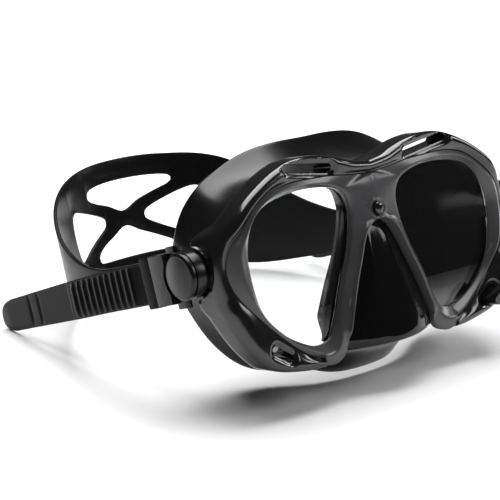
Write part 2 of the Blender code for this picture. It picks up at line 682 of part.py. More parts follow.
def build_post(side, parent):
    """The pivot post through the tongue of the arm, and the clip that holds the buckle on it."""
    turn = Matrix.Rotation(math.radians(90 * side), 3, "Y")
    word = "left" if side > 0 else "right"
    profile = [(0, -3.7), (POST_HEAD, -3.7), (POST_HEAD, -2.8), (POST_RADIUS, -2.8), (POST_RADIUS, 5.9),
               (0, 5.9)]
    post = turned(word + "_pivot_post", profile, turn, steel, parent)
    clip = turned(word + "_pivot_clip", [(POST_RADIUS + 0.15, 4.9), (4.4, 4.9), (4.4, 5.6),
                                         (POST_RADIUS + 0.15, 5.6)], turn, steel, parent)
    for piece in (post, clip):
        piece.location = Vector((side * TONGUE_OUTER, PIVOT_Y, PIVOT_Z)) * MM


# --- Strap: drawn flat, then bent along its path -------------------------------------------------
def upright_to_world(point):
    """World position, in millimetres, of a point of the upright mask."""
    lean = Matrix.Rotation(math.radians(-LEAN_BACK), 3, "X")
    return lean @ Vector(point) + Vector((0, -ORIGIN_BACK, LENS_HEIGHT))


ALONG = Vector((0, math.cos(math.radians(STRAP_SLOPE)), -math.sin(math.radians(STRAP_SLOPE))))
ACROSS = Vector((0, math.sin(math.radians(STRAP_SLOPE)), math.cos(math.radians(STRAP_SLOPE))))


def buckle_to_world(side, o, a, h=0.0):
    pivot = upright_to_world((side * TONGUE_OUTER, PIVOT_Y, PIVOT_Z))
    return pivot + Vector((side * o, 0, 0)) + ALONG * a + ACROSS * h


class StrapPath:
    """The strap's centre line from the middle of the band, round one roller, to the tail's tip."""

    def __init__(self, side):
        self.side = side
        layer = ROLLER_RADIUS + GAP + STRAP_THICKNESS / 2
        self.entry_a = 22.0
        ends = [buckle_to_world(s, ROLLER_O - layer, a) for s, a in
                ((-1, 22), (-1, 30), (1, 30), (1, 22))]
        spots = ends[:2] + [Vector((x, y - ORIGIN_BACK, z)) for x, y, z, w, lean in BAND] + ends[2:]
        shapes = [(8.5, 0.0)] * 2 + [(w, lean) for x, y, z, w, lean in BAND] + [(8.5, 0.0)] * 2
        run = [Vector((*p, *shape)) for p, shape in zip(spots, shapes)]
        dense = smooth(run, 481)
        split = min(range(len(dense)), key=lambda i: abs(dense[i].x))
        half = dense[split:] if side > 0 else list(reversed(dense[:split + 1]))
        self.band = [(Vector(p[:3]), p[3], p[4]) for p in half]
        self.distances = [0.0]
        for low, high in zip(self.band, self.band[1:]):
            self.distances.append(self.distances[-1] + (high[0] - low[0]).length)
        self.band_length = self.distances[-1]
        self.turn_radius = layer
        self.turn_start = self.band_length + self.entry_a - ROLLER_A
        self.turn_end = self.turn_start + math.pi * layer
        self.tail_end = TAIL_END[side]
        self.length = self.turn_end + self.tail_end - ROLLER_A

    def half_width(self, s):
        if s < self.band_length:
            return self.at_band(s)[1]
        if s < self.turn_end:
            return TAIL_HALF_WIDTH[0]
        along = 2 * (s - self.turn_end) / (self.length - self.turn_end)
        low, high = TAIL_HALF_WIDTH[:2] if along < 1 else TAIL_HALF_WIDTH[1:]
        return low + (high - low) * (along % 1 if along < 2 else 1)

    def at_band(self, s):
        i = 0
        while i < len(self.distances) - 2 and self.distances[i + 1] < s:
            i += 1
        f = (s - self.distances[i]) / (self.distances[i + 1] - self.distances[i])
        (p, w, lean), (q, v, next_lean) = self.band[i], self.band[i + 1]
        return p.lerp(q, f), w + (v - w) * f, lean + (next_lean - lean) * f

    def frame(self, s):
        """Centre, direction away from the middle, and up, at a distance along the strap."""
        outward = Vector((self.side, 0, 0))
        if s < self.band_length:
            low, high = max(s - BAND_STEP, 0.0), min(s + BAND_STEP, self.band_length)
            direction = self.at_band(high)[0] - self.at_band(low)[0]
            if s < BAND_STEP:
                direction = outward.copy()
            direction.normalize()
            centre, width, lean = self.at_band(s)
            up = (Vector((0, 0, 1)) - direction * direction.z).normalized()
            turn = Matrix.Rotation(math.radians(-self.side * lean), 3, direction)
            return centre, direction, turn @ up
        if s < self.turn_start:
            a = self.entry_a - (s - self.band_length)
            return buckle_to_world(self.side, ROLLER_O - self.turn_radius, a), -ALONG, ACROSS
        if s < self.turn_end:
            angle = (s - self.turn_start) / self.turn_radius
            centre = buckle_to_world(self.side, ROLLER_O, ROLLER_A)
            spoke = -outward * math.cos(angle) - ALONG * math.sin(angle)
            forward = outward * math.sin(angle) - ALONG * math.cos(angle)
            return centre + spoke * self.turn_radius, forward, ACROSS
        a = ROLLER_A + s - self.turn_end
        along_tail = max(0.0, a - RIB_START) / (self.tail_end - RIB_START)
        droop = TAIL_DROOP[self.side] * along_tail ** 1.3
        return buckle_to_world(self.side, ROLLER_O + self.turn_radius, a, -droop), ALONG, ACROSS

    def place(self, s, t, h):
        """World position of a point of the flat strap; t runs outward from its middle layer."""
        centre, direction, up = self.frame(s)
        normal = up.cross(direction) if self.side > 0 else direction.cross(up)
        return centre + normal * t + up * h


def strap_outline(path):
    """Points (distance, half width) from the middle of the band to the tip of the tail."""
    tip = 10.0
    stations = [path.band_length * k / 24 for k in range(25)]
    stations += [path.turn_start, path.turn_end, path.turn_end + 40, path.length - tip]
    points = [Vector((s, path.half_width(s))) for s in stations]
    for k in range(1, 8):
        angle = math.radians(90 * k / 7)
        points.append(Vector((path.length - tip + tip * math.sin(angle),
                              path.half_width(path.length) * math.cos(angle) ** 0.8)))
    points[-1].y = 0.0
    return points


def strap_profile(path):
    """Half of the strap seen from its edge: (distance, t), with the ribs of the tail."""
    half = STRAP_THICKNESS / 2
    points = [(path.length + 2, half), (path.length + 2, -half)]
    first = path.turn_end + RIB_START - ROLLER_A
    for k in reversed(range(RIB_COUNT)):
        start = first + RIB_PITCH * k
        points += [(start + RIB_WIDTH, -half), (start + RIB_WIDTH - 0.4, -half - RIB_HEIGHT),
                   (start + 0.4, -half - RIB_HEIGHT), (start, -half)]
    return [Vector(p) for p in points]


def build_strap(parent):
    right, left = StrapPath(-1), StrapPath(1)
    outline = []
    for path, sign in ((left, 1), (right, -1)):
        half = [Vector((sign * p.x, p.y)) for p in strap_outline(path)]
        run = half + [Vector((p.x, -p.y)) for p in reversed(half[:-1])]
        outline += run if sign > 0 else list(reversed(run))
    loops = [remove_repeats(outline)]
    loops.append(smooth(TOP_OPENING, 30, closed=True))
    loops.append([Vector((p.x, -p.y)) for p in loops[1]])
    loops.append(smooth(SIDE_OPENING, 30, closed=True))
    loops.append(mirrored(loops[3]))
    bm = extruded(loops, -3.0, 3.0)
    strap = object_from_bmesh("head_strap", bm, silicone, parent)
    ribs = [Vector((-p.x, p.y)) for p in strap_profile(right)]
    bm = extruded([strap_profile(left) + list(reversed(ribs))], -40.0, 40.0)
    for vert in bm.verts:
        s, t, h = vert.co
        vert.co = (s, h, t)
    side_view = object_from_bmesh("strap_side_view", bm, None, parent)
    combine(strap, [side_view], "INTERSECT")
    frozen(strap)
    bend_strap(strap, right, left)
    return strap


def remove_repeats(points):
    kept = []
    for p in points:
        if not kept or (p - kept[-1]).length > 1e-3:
            kept.append(p)
    if (kept[0] - kept[-1]).length < 1e-3:
        kept.pop()
    return kept


def bend_strap(strap, right, left):
    bm = bmesh.new()
    bm.from_mesh(strap.data)
    bmesh.ops.scale(bm, vec=(1 / MM, 1 / MM, 1 / MM), verts=bm.verts)
    bmesh.ops.remove_doubles(bm, verts=bm.verts, dist=1e-3)
    places = [0.0]
    for path, sign in ((left, 1), (right, -1)):
        count = 26
        places += [sign * path.band_length * k / count for k in range(1, count + 1)]
        turn = path.turn_end - path.turn_start
        places += [sign * (path.turn_start + turn * k / 10) for k in range(11)]
    slice_along(bm, Vector((1, 0, 0)), places)
    for vert in bm.verts:
        s, h, t = vert.co
        path = left if s >= 0 else right
        vert.co = path.place(abs(s), t, h)
    face_outward(bm)
    bmesh.ops.scale(bm, vec=(MM, MM, MM), verts=bm.verts)
    bm.to_mesh(strap.data)
    bm.free()


# --- Assembly ------------------------------------------------------------------------------------
def empty(name, location, turn_x):
    holder = bpy.data.objects.new(name, None)
    holder.empty_display_size = 0.01
    holder.location = location * MM
    holder.rotation_euler = (math.radians(turn_x), 0, 0)
    parts.objects.link(holder)
    return holder


clear_scene()
parts = bpy.data.collections.new("diving_mask")
cutters = bpy.data.collections.new("cutters")
bpy.context.scene.collection.children.link(parts)
bpy.context.scene.collection.children.link(cutters)

gloss_plastic = material("gloss_black_plastic", (0.012, 0.012, 0.013), 0.16)
satin_plastic = material("dark_grey_plastic", (0.035, 0.036, 0.038), 0.34)
silicone = material("black_silicone", (0.014, 0.014, 0.015), 0.38)
glass = material("tempered_glass", (0.93, 0.96, 0.95), 0.02, alpha=0.35, transmission=1.0)
steel = material("stainless_steel", (0.55, 0.56, 0.57), 0.3, metallic=1.0)

mask_upright = empty("mask_upright", upright_to_world((0, 0, 0)), -LEAN_BACK)
right_axis = empty("right_buckle_axis", buckle_to_world(-1, 0, 0), -STRAP_SLOPE)
left_axis = empty("left_buckle_axis", buckle_to_world(1, 0, 0), -STRAP_SLOPE)

build_outer_frame(mask_upright)
build_bezel(mask_upright)
build_lens("right_lens", -1, mask_upright)
build_lens("left_lens", 1, mask_upright)
build_skirt(mask_upright)
build_post(-1, mask_upright)
build_post(1, mask_upright)
build_buckle(right_axis, left_axis)
build_strap(None)
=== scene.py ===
"""Looks of the two-lens diving mask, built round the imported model. Local sizes are in millimetres."""

import json
import math
from bisect import bisect_right

import bmesh
import bpy
from mathutils import Matrix, Vector


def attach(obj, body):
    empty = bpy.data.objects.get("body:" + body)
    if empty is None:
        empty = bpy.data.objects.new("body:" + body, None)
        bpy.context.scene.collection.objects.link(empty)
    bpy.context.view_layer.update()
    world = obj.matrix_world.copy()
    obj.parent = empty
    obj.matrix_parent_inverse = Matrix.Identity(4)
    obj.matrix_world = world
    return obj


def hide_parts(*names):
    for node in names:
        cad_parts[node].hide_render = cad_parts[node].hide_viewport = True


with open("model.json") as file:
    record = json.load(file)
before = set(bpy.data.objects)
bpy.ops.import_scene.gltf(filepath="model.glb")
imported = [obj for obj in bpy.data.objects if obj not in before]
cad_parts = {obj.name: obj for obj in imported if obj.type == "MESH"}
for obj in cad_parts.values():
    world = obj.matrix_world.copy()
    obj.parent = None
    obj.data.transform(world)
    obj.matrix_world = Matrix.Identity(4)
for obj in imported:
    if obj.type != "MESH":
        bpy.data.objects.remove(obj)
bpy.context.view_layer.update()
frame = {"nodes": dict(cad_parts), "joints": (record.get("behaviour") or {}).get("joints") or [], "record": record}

MM = 0.001

# --- Places read from the frame ---
joints = {joint["name"]: joint for joint in frame["joints"]}
bridge = frame["record"]["mounts"][0]
OUT_OF_FACE = Vector(bridge["axis"]).normalized()  # forward from the lenses
FACE_UP = Vector((0, OUT_OF_FACE.z, -OUT_OF_FACE.y)).normalized()
BRIDGE_FRONT, BRIDGE_UP = 4.6, 18.0  # the mount, from the lenses' middle
LENS_MIDDLE = Vector(bridge["pos_m"]) / MM - OUT_OF_FACE * BRIDGE_FRONT - FACE_UP * BRIDGE_UP
ACROSS = Vector(joints["right_roller_spin"]["axis"]).normalized()
ALONG = Vector((0, ACROSS.z, -ACROSS.y))
SIDE_NAME = {-1: "right", 1: "left"}  # the wearer's sides
PIVOT = {side: Vector(joints[word + "_buckle_swivel"]["pos_m"]) / MM for side, word in SIDE_NAME.items()}
BODY_NODES = frame["record"]["behaviour"]["bodies"]


def from_upright(x, y, z):
    """Place in the row, in millimetres, of a point of the upright mask: y runs back from the lenses."""
    return LENS_MIDDLE + Vector((x, 0, 0)) - OUT_OF_FACE * y + FACE_UP * z


def from_buckle(side, o, a, h):
    """Place of a point given outward from the pivot, along the strap and across it."""
    return PIVOT[side] + Vector((side * o, 0, 0)) + ALONG * a + ACROSS * h


# --- Driving shapes, seen from the front: x outward, z up ---
APERTURE = [(38, 26.4), (51.5, 23.9), (59, 18), (62.8, 8), (62.6, -4), (59.5, -16), (52, -25),
            (44, -30.5), (36, -33.4), (29.4, -31.5), (25.4, -25), (21, -14), (15.4, -1), (12.4, 10),
            (12.4, 18), (16.3, 23.5), (25, 26)]
FRAME_OUTLINE = [(0, 32.5), (8, 33.8), (15, 36.2), (22, 38), (30, 38.9), (38, 38.4), (45, 36.4),
                 (52, 33.2), (59.6, 28.6), (65.4, 24), (70.4, 18.6), (74.6, 11.6), (76.5, 3), (76.3, -6),
                 (74.5, -15), (71, -24), (67, -31), (62, -36.2), (56, -39), (48, -40.8),
                 (41, -41.8), (35.3, -41.9)]
CREASE = [(0, 27.6), (10, 28.4), (20, 29.6), (30, 30.1), (40, 30.1), (50, 28.2), (58, 23.4),
          (65, 17), (70.5, 11), (72.3, 3), (70.8, -5.5), (66, -13.5), (58, -22), (48.5, -30.8),
          (41, -36.2), (35.3, -38.6)]
LOWER_CORNER = [(35.3, -38.6), (34.9, -41.2), (30, -42), (25.6, -40.4), (23.2, -37), (22.6, -33)]
NOSE_ARCH = [(22.6, -33), (19.4, -23), (15.8, -13), (12.2, -4.6), (9.2, 2.6), (6.4, 6.9), (3.2, 9), (0, 9.6)]
BROW_SLOT = dict(centre=(30.6, 34.3), length=24.0, width=3.6, tilt=8.0)
CHEEK_SLOT = dict(centre=(55.0, -32.4), length=10.5, width=3.6, tilt=-145.0)
SLOT_ARC_STEPS = 16
WRAP_START, WRAP_END, WRAP_DEPTH = 64.2, 76.5, 7.0


def wrap(x):
    """How far the front sweeps back at a distance x from the middle."""
    past = max(0.0, abs(x) - WRAP_START) / (WRAP_END - WRAP_START)
    return WRAP_DEPTH * past ** 1.6


# --- Curves ---
CURVE_STEPS = 24  # straight pieces between two given points of a curve


def smooth(points, count, closed=False):
    """Points evenly spaced along a Catmull-Rom curve through the given ones, of any dimension."""
    pts = [Vector(p) for p in points]
    if closed:
        pts = pts + [pts[0]]
        before, after = pts[-2], pts[1]
    else:
        before, after = 2 * pts[0] - pts[1], 2 * pts[-1] - pts[-2]
    run = [before] + pts + [after]
    dense = []
    for p0, p1, p2, p3 in zip(run, run[1:], run[2:], run[3:]):
        for k in range(CURVE_STEPS):
            t = k / CURVE_STEPS
            dense.append(0.5 * (2 * p1 + (p2 - p0) * t + (2 * p0 - 5 * p1 + 4 * p2 - p3) * t * t
                                + (3 * p1 - p0 - 3 * p2 + p3) * t ** 3))
    dense.append(pts[-1])
    return resample(dense, count, closed)


def lengths_of(dense):
    """The distance along a polyline at each of its points."""
    run = [0.0]
    for a, b in zip(dense, dense[1:]):
        run.append(run[-1] + (b - a).length)
    return run


def stretch_at(run, want):
    """The index of the stretch that a distance falls in, and its share of it."""
    low = min(max(bisect_right(run, want) - 1, 0), len(run) - 2)
    return low, (want - run[low]) / max(run[low + 1] - run[low], 1e-9)


def resample(dense, count, closed=False):
    """Evenly spaced points of a polyline; a closed one leaves out its last point."""
    run = lengths_of(dense)
    steps = count if closed else count - 1
    spots = [stretch_at(run, run[-1] * i / steps) for i in range(count)]
    return [dense[low].lerp(dense[low + 1], share) for low, share in spots]


def nearest(point, curve):
    """The closest point of a dense open polyline."""
    best, found = 1e9, curve[0]
    for a, b in zip(curve, curve[1:]):
        along = b - a
        share = max(0.0, min(1.0, (point - a).dot(along) / max(along.length_squared, 1e-9)))
        spot = a + along * share
        if (point - spot).length_squared < best:
            best, found = (point - spot).length_squared, spot
    return found


def ease(x, low, high):
    """0 below low, 1 above high, and smooth between."""
    t = max(0.0, min(1.0, (x - low) / (high - low)))
    return t * t * (3 - 2 * t)


def slot_outline(centre, length, width, tilt):
    """The outline of a slot with round ends."""
    half, turn = (length - width) / 2, math.radians(tilt)
    points = []
    for end, start in ((half, -90), (-half, 90)):
        for k in range(SLOT_ARC_STEPS + 1):
            angle = math.radians(start + 180 * k / SLOT_ARC_STEPS)
            x, y = end + width / 2 * math.cos(angle), width / 2 * math.sin(angle)
            points.append(Vector((centre[0] + x * math.cos(turn) - y * math.sin(turn),
                                  centre[1] + x * math.sin(turn) + y * math.cos(turn))))
    return points


def slot_distance(point, centre, length, width, tilt):
    """How far a point of the front lies outside a slot; negative inside it."""
    turn = math.radians(tilt)
    dx, dz = point.x - centre[0], point.y - centre[1]
    along = dx * math.cos(turn) + dz * math.sin(turn)
    over = -dx * math.sin(turn) + dz * math.cos(turn)
    half = (length - width) / 2
    along = max(0.0, abs(along) - half)
    return math.hypot(along, over) - width / 2


# --- Meshes ---
def face_outward(bm):
    """Turns the faces of a closed bmesh outward."""
    bmesh.ops.recalc_face_normals(bm, faces=bm.faces)
    if bm.calc_volume(signed=True) < 0:
        bmesh.ops.reverse_faces(bm, faces=bm.faces)


def add_object(name, data):
    """A new object in the scene."""
    thing = bpy.data.objects.new(name, data)
    bpy.context.scene.collection.objects.link(thing)
    return thing


def mesh_of(name, bm):
    """A mesh in metres, faces outward, from a bmesh in row millimetres."""
    face_outward(bm)
    bmesh.ops.scale(bm, vec=(MM, MM, MM), verts=bm.verts)
    mesh = bpy.data.meshes.new(name)
    bm.to_mesh(mesh)
    bm.free()
    return mesh


def add_mesh(name, bm, mat, body, replaced=(), sharp=None, weld=0.0005):
    """A shown piece from a bmesh in row millimetres, on its body."""
    if weld:
        bmesh.ops.remove_doubles(bm, verts=bm.verts, dist=weld)
    mesh = mesh_of(name, bm)
    mesh.shade_smooth()
    if sharp:
        mesh.set_sharp_from_angle(angle=math.radians(sharp))
    mesh.materials.append(mat)
    piece = add_object(name, mesh)
    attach(piece, body)
    if replaced:
        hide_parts(*replaced)
    return piece


def skin(bm, rows, close_rows=False, close_ends=False):
    """Quads over a grid of points; close_rows joins each row's end to its start."""
    verts = [[bm.verts.new(p) for p in row] for row in rows]
    pairs = list(zip(verts, verts[1:]))
    if close_ends:
        pairs.append((verts[-1], verts[0]))
    for low, high in pairs:
        count = len(low)
        for i in range(count if close_rows else count - 1):
            j = (i + 1) % count
            bm.faces.new((low[i], low[j], high[j], high[i]))
    return verts


def final_mesh(thing):
    """A new mesh of an object, as its modifiers leave it."""
    bpy.context.view_layer.update()
    shape = thing.evaluated_get(bpy.context.evaluated_depsgraph_get())
    return bpy.data.meshes.new_from_object(shape)


def loft(rings):
    """A closed bmesh over a stack of rings, with a face on each end."""
    bm = bmesh.new()
    verts = skin(bm, rings, close_rows=True)
    bm.faces.new(verts[0])
    bm.faces.new(list(reversed(verts[-1])))
    return bm


def cut(piece, bm_tool):
    """Cuts a closed bmesh, in row millimetres, out of a piece."""
    tool_mesh = mesh_of("tool", bm_tool)
    tool = add_object("tool", tool_mesh)
    modifier = piece.modifiers.new("Cut", "BOOLEAN")
    modifier.operation = "DIFFERENCE"
    modifier.solver = "EXACT"
    modifier.object = tool
    shape = final_mesh(piece)
    piece.modifiers.clear()
    piece.data = shape
    bpy.data.objects.remove(tool, do_unlink=True)
    bpy.data.meshes.remove(tool_mesh)


# --- Materials ---
def add_noise(tree, scale, detail):
    """The output of a noise texture that is fixed to the piece."""
    place = tree.nodes.new("ShaderNodeTexCoord")
    texture = tree.nodes.new("ShaderNodeTexNoise")
    texture.inputs["Scale"].default_value = scale
    texture.inputs["Detail"].default_value = detail
    tree.links.new(place.outputs["Object"], texture.inputs["Vector"])
    return texture.outputs["Fac"]


def add_range(tree, value, source, target):
    """The output of a node that carries a value from one (low, high) range to another."""
    node = tree.nodes.new("ShaderNodeMapRange")
    for name, number in zip(("From Min", "From Max", "To Min", "To Max"), (*source, *target)):
        node.inputs[name].default_value = number
    tree.links.new(value, node.inputs["Value"])
    return node.outputs["Result"]


def new_material(name, settings):
    """A material with some inputs of its Principled shader set, and that shader."""
    mat = bpy.data.materials.new(name)
    mat.use_nodes = True
    shader = mat.node_tree.nodes["Principled BSDF"]
    for key, value in settings.items():
        shader.inputs[key].default_value = value
    return mat, shader


def moulded(name, colour, roughness, grain=0.0, grain_scale=900.0, coat=0.0, wear_and_edge_highlight=0.0, specular=0.5,
            metallic=0.0, polish=None):
    """Moulded plastic or silicone: slight mottling of colour and gloss, fine grain, and paler convex edges, partly
    wear and partly a painted edge highlight.

    Where a piece's polish value is 1 the surface has the roughness given as polish."""
    mat, shader = new_material(name, {"Specular IOR Level": specular, "Coat Weight": coat,
                                      "Coat Roughness": 0.06, "Metallic": metallic})
    tree = mat.node_tree
    tint = tree.nodes.new("ShaderNodeValToRGB")
    tint.color_ramp.elements[0].color = (*[c * 0.8 for c in colour], 1)
    tint.color_ramp.elements[1].color = (*[c * 1.25 for c in colour], 1)
    tree.links.new(add_noise(tree, 60.0, 5.0), tint.inputs["Fac"])
    # Convex edges are painted paler: partly wear, partly a painted highlight along the edges.
    edge = tree.nodes.new("ShaderNodeNewGeometry")
    worn_and_highlit_edges = add_range(tree, edge.outputs["Pointiness"], (0.52, 0.62), (0.0, wear_and_edge_highlight))
    lighten = tree.nodes.new("ShaderNodeMix")
    lighten.data_type = "RGBA"
    lighten.inputs["B"].default_value = (*[min(1.0, c * 3 + 0.03) for c in colour], 1)
    tree.links.new(worn_and_highlit_edges, lighten.inputs["Factor"])
    tree.links.new(tint.outputs["Color"], lighten.inputs["A"])
    tree.links.new(lighten.outputs["Result"], shader.inputs["Base Color"])
    gloss = add_range(tree, add_noise(tree, 22.0, 8.0), (0.3, 0.7), (roughness * 0.8, roughness * 1.25))
    tree.links.new(gloss, shader.inputs["Roughness"])
    if polish is not None:
        polished = tree.nodes.new("ShaderNodeAttribute")
        polished.attribute_name = "polish"
        finish = tree.nodes.new("ShaderNodeMix")
        finish.inputs["B"].default_value = polish
        tree.links.new(polished.outputs["Fac"], finish.inputs["Factor"])
        tree.links.new(gloss, finish.inputs["A"])
        tree.links.new(finish.outputs["Result"], shader.inputs["Roughness"])
    if grain:
        bump = tree.nodes.new("ShaderNodeBump")
        bump.inputs["Strength"].default_value = grain
        bump.inputs["Distance"].default_value = 0.0002
        tree.links.new(add_noise(tree, grain_scale, 3.0), bump.inputs["Height"])
        tree.links.new(bump.outputs["Normal"], shader.inputs["Normal"])
    return mat


def make_glass():
    """Clear glass with faint smears."""
    mat, shader = new_material("tempered_glass", {"Base Color": (0.97, 0.985, 0.98, 1),
                                                  "Transmission Weight": 1.0, "IOR": 1.5})
    tree = mat.node_tree
    smears = add_range(tree, add_noise(tree, 30.0, 6.0), (0.45, 0.8), (0.0, 0.035))
    tree.links.new(smears, shader.inputs["Roughness"])
    return mat


gloss_black = moulded("gloss_black_plastic", (0.0045, 0.0045, 0.0048), 0.16, coat=0.3, wear_and_edge_highlight=0.12)
bezel_grey = moulded("dark_grey_plastic", (0.05, 0.0505, 0.053), 0.24, grain=0.05, wear_and_edge_highlight=0.3)
buckle_black = moulded("buckle_plastic", (0.003, 0.003, 0.0032), 0.22, wear_and_edge_highlight=0.1, specular=0.3)
satin_black = moulded("satin_black_plastic", (0.0022, 0.0022, 0.0024), 0.36, grain=0.12, wear_and_edge_highlight=0.1,
                      specular=0.05)
skirt_silicone = moulded("black_silicone", (0.003, 0.003, 0.0032), 0.2, grain=0.05, grain_scale=1400,
                         wear_and_edge_highlight=0.06, specular=0.28, polish=0.09)
strap_silicone = moulded("strap_silicone", (0.006, 0.006, 0.0064), 0.26, grain=0.07, grain_scale=1400,
                         wear_and_edge_highlight=0.06, specular=0.07)
glass = make_glass()
steel = moulded("stainless_steel", (0.5, 0.51, 0.52), 0.28, grain=0.15, grain_scale=1500, metallic=1.0)


# --- Outer frame ---
FRAME_LIP = -3.3  # depth of the frame's edge along the crease
FRAME_CROWN = -5.0  # its most forward line
FRAME_BACK = 7.6
FRAME_BEND = 3.6  # depth of the rounding into the side wall
ARM_OUT = 77.2  # outer face of the arm
ARM_INNER, TONGUE_FACE = 73.6, 74.8
TONGUE_INNER = 72.6
PIVOT_Y, PIVOT_Z, RECESS_RADIUS = 14.0, 2.7, 9.9
ARM_END = 14.4  # the arm's two lobes end this far back
STATIONS = 260
SLOT_CUT = (-12, 14)  # depths between which the slots are cut
TONGUE_RADIUS, TONGUE_FRONT = 8.6, 5.0


def arm_back_edge(z, plain):
    """How far back the outer wall reaches at a height: two lobes round the buckle's recess."""
    upper = ease(z, 20.5, 15.5) * ease(z, -1, 3)
    lower = ease(z, -15.0, -9.5) * ease(z, 6, 2)
    edge = plain + (ARM_END - plain) * max(upper, lower)
    off = z - PIVOT_Z
    if abs(off) < RECESS_RADIUS:
        edge = min(edge, PIVOT_Y - math.sqrt(RECESS_RADIUS ** 2 - off ** 2))
    return edge


def scoop(point):
    """Depth of the shallow dish round each slot."""
    brow = 1.0 - ease(slot_distance(point, **BROW_SLOT), -0.4, 2.4)
    cheek = 1.0 - ease(slot_distance(point, **CHEEK_SLOT), -0.4, 2.2)
    return 2.0 * brow + 1.5 * cheek


def frame_front(width, crown):
    """(distance from the crease, depth) of the front, from the crease to the side wall."""
    bend = min(3.0, 0.5 * width)
    points = [(0.0, FRAME_LIP + 1.1), (0.08, FRAME_LIP + 0.5), (0.3, FRAME_LIP + 0.12)]
    for k in range(14):
        u = k / 13
        points.append((0.6 + (width - bend - 0.6) * u,
                       FRAME_LIP + (crown - FRAME_LIP) * math.sin(math.pi / 2 * u)))
    for k in range(1, 10):
        angle = math.pi / 2 * k / 9
        points.append((width - bend + bend * math.sin(angle), crown + FRAME_BEND * (1 - math.cos(angle))))
    return points


def frame_section(inner, outer):
    """Points of the section from the hidden inner wall, over the front and side, to the back."""
    width = (outer - inner).length
    n = (outer - inner) / width
    arm = ease(outer.y, -16, -8) * ease(outer.y, 20, 13) if outer.x > 60 else 0.0
    section = [(inner.x, FRAME_BACK - 0.8 + wrap(inner.x), inner.y)]
    for distance, depth in frame_front(width, FRAME_CROWN + 0.9 * arm):
        spot = inner + n * distance
        dish = scoop(spot) * ease(width - distance, 0.0, 1.8)
        section.append((spot.x, wrap(spot.x) + depth + dish, spot.y))
    plain = FRAME_BACK + wrap(outer.x)
    back = arm_back_edge(outer.y, plain) if outer.x > 60 else plain
    start = section[-1][1]
    out_x = outer.x + max(0.0, ARM_OUT - outer.x) * arm
    for share in (0.2, 0.4, 0.6, 0.8):
        x = outer.x + (out_x - outer.x) * share
        section.append((x, start + (back - 0.45 - start) * share, outer.y))
    section.append((out_x, back - 0.45, outer.y))
    section.append((out_x - n.x * 0.13, back - 0.13, outer.y - n.y * 0.13))
    section.append((out_x - n.x * 0.45, back, outer.y - n.y * 0.45))
    thick = min(3.2, width * 0.7)
    step_x = TONGUE_FACE if back < plain else ARM_INNER
    step = Vector((outer.x - n.x * thick, outer.y - n.y * thick)).lerp(Vector((step_x, outer.y)), arm)
    section.append((step.x, back, step.y))
    section.append((step.x - n.x * 0.1, plain + 0.05 * arm, step.y - n.y * 0.1))
    section.append((inner.x + n.x * 0.3, FRAME_BACK + wrap(inner.x), inner.y + n.y * 0.3))
    return section


def relaxed(points, rounds):
    """Evens out a run of points, keeping its ends."""
    pts = list(points)
    for _ in range(rounds):
        pts = [pts[0]] + [(a + b * 2 + c) / 4 for a, b, c in zip(pts, pts[1:], pts[2:])] + [pts[-1]]
    return pts


def build_frame():
    """The gloss outer frame with its slots and arms, and the tongues that carry the pivots."""
    outer = smooth(FRAME_OUTLINE, STATIONS)
    crease = smooth(CREASE, 400)
    inner = [nearest(p, crease) for p in outer]
    inner[0], inner[-1] = crease[0], crease[-1]
    rows = [frame_section(i, o) for i, o in zip(relaxed(inner, 8), outer)]
    bm = bmesh.new()
    for side in (-1, 1):
        places = [[from_upright(side * x, y, z) for x, y, z in row] for row in rows]
        verts = skin(bm, places, close_rows=True)
        bm.faces.new(verts[-1])
    piece = add_mesh("frame_shell", bm, gloss_black, "mask", ["outer_frame"])
    for side in (-1, 1):
        for slot in (BROW_SLOT, CHEEK_SLOT):
            outline = slot_outline(**slot)
            cut(piece, loft([[from_upright(side * x, y, z) for x, z in outline] for y in SLOT_CUT]))
    whole = bmesh.new()
    whole.from_mesh(piece.data)
    face_outward(whole)
    whole.to_mesh(piece.data)
    whole.free()
    piece.data.set_sharp_from_angle(angle=math.radians(38))
    for side in (-1, 1):
        build_tongue(side)


def build_tongue(side):
    """The round plate behind the buckle that carries its pivot, let into the arm."""
    outline = [(TONGUE_FRONT, PIVOT_Z + TONGUE_RADIUS), (TONGUE_FRONT, PIVOT_Z - TONGUE_RADIUS)]
    for k in range(33):
        angle = math.radians(-90 + 180 * k / 32)
        outline.append((PIVOT_Y + TONGUE_RADIUS * math.cos(angle),
                        PIVOT_Z + TONGUE_RADIUS * math.sin(angle)))
    bm = loft([[from_upright(side * x, y, z) for y, z in outline] for x in (TONGUE_INNER, TONGUE_FACE)])
    edges = [e for e in bm.edges if e.calc_face_angle() > math.radians(50)]
    bmesh.ops.bevel(bm, geom=edges, offset=0.4, segments=3, affect="EDGES")
    add_mesh(SIDE_NAME[side] + "_pivot_tongue", bm, gloss_black, "mask", sharp=35)


# --- Inner bezel ---
# Places on the aperture and on the bezel's outer edge that face each other across its width.
BEZEL_RIBS = [((38, 26.4), (39, 30.1)), ((52.5, 23.2), (54.5, 26)), ((59.4, 17.2), (63.6, 18.6)),
              ((62.8, 8), (70.8, 10)), ((63.1, 1), (72.3, 2.5)), ((62, -6.5), (70.4, -6.6)),
              ((58.4, -17.6), (62, -18.2)), ((52, -25), (53.6, -26.4)), ((44, -30.5), (44.6, -33.8)),
              ((39, -32.8), (38.6, -37.4)), ((35.6, -33.4), (35.1, -40.4)), ((32, -33), (30, -42)),
              ((28, -30), (23.8, -38)), ((26, -26), (21.6, -29.4)), ((21, -14), (16.2, -14)),
              ((15.4, -1), (10.3, 0)), ((13.4, 5), (6.4, 6.9)), ((12.5, 9.4), (0, 9.6)),
              ((12.4, 17), (0, 17)), ((15.4, 22.6), (0, 27.6)), ((19, 24.6), (9, 28.3)),
              ((26, 26.1), (25, 29.9))]
RIB_SAMPLES, RIB_SMOOTHING = 10, 10
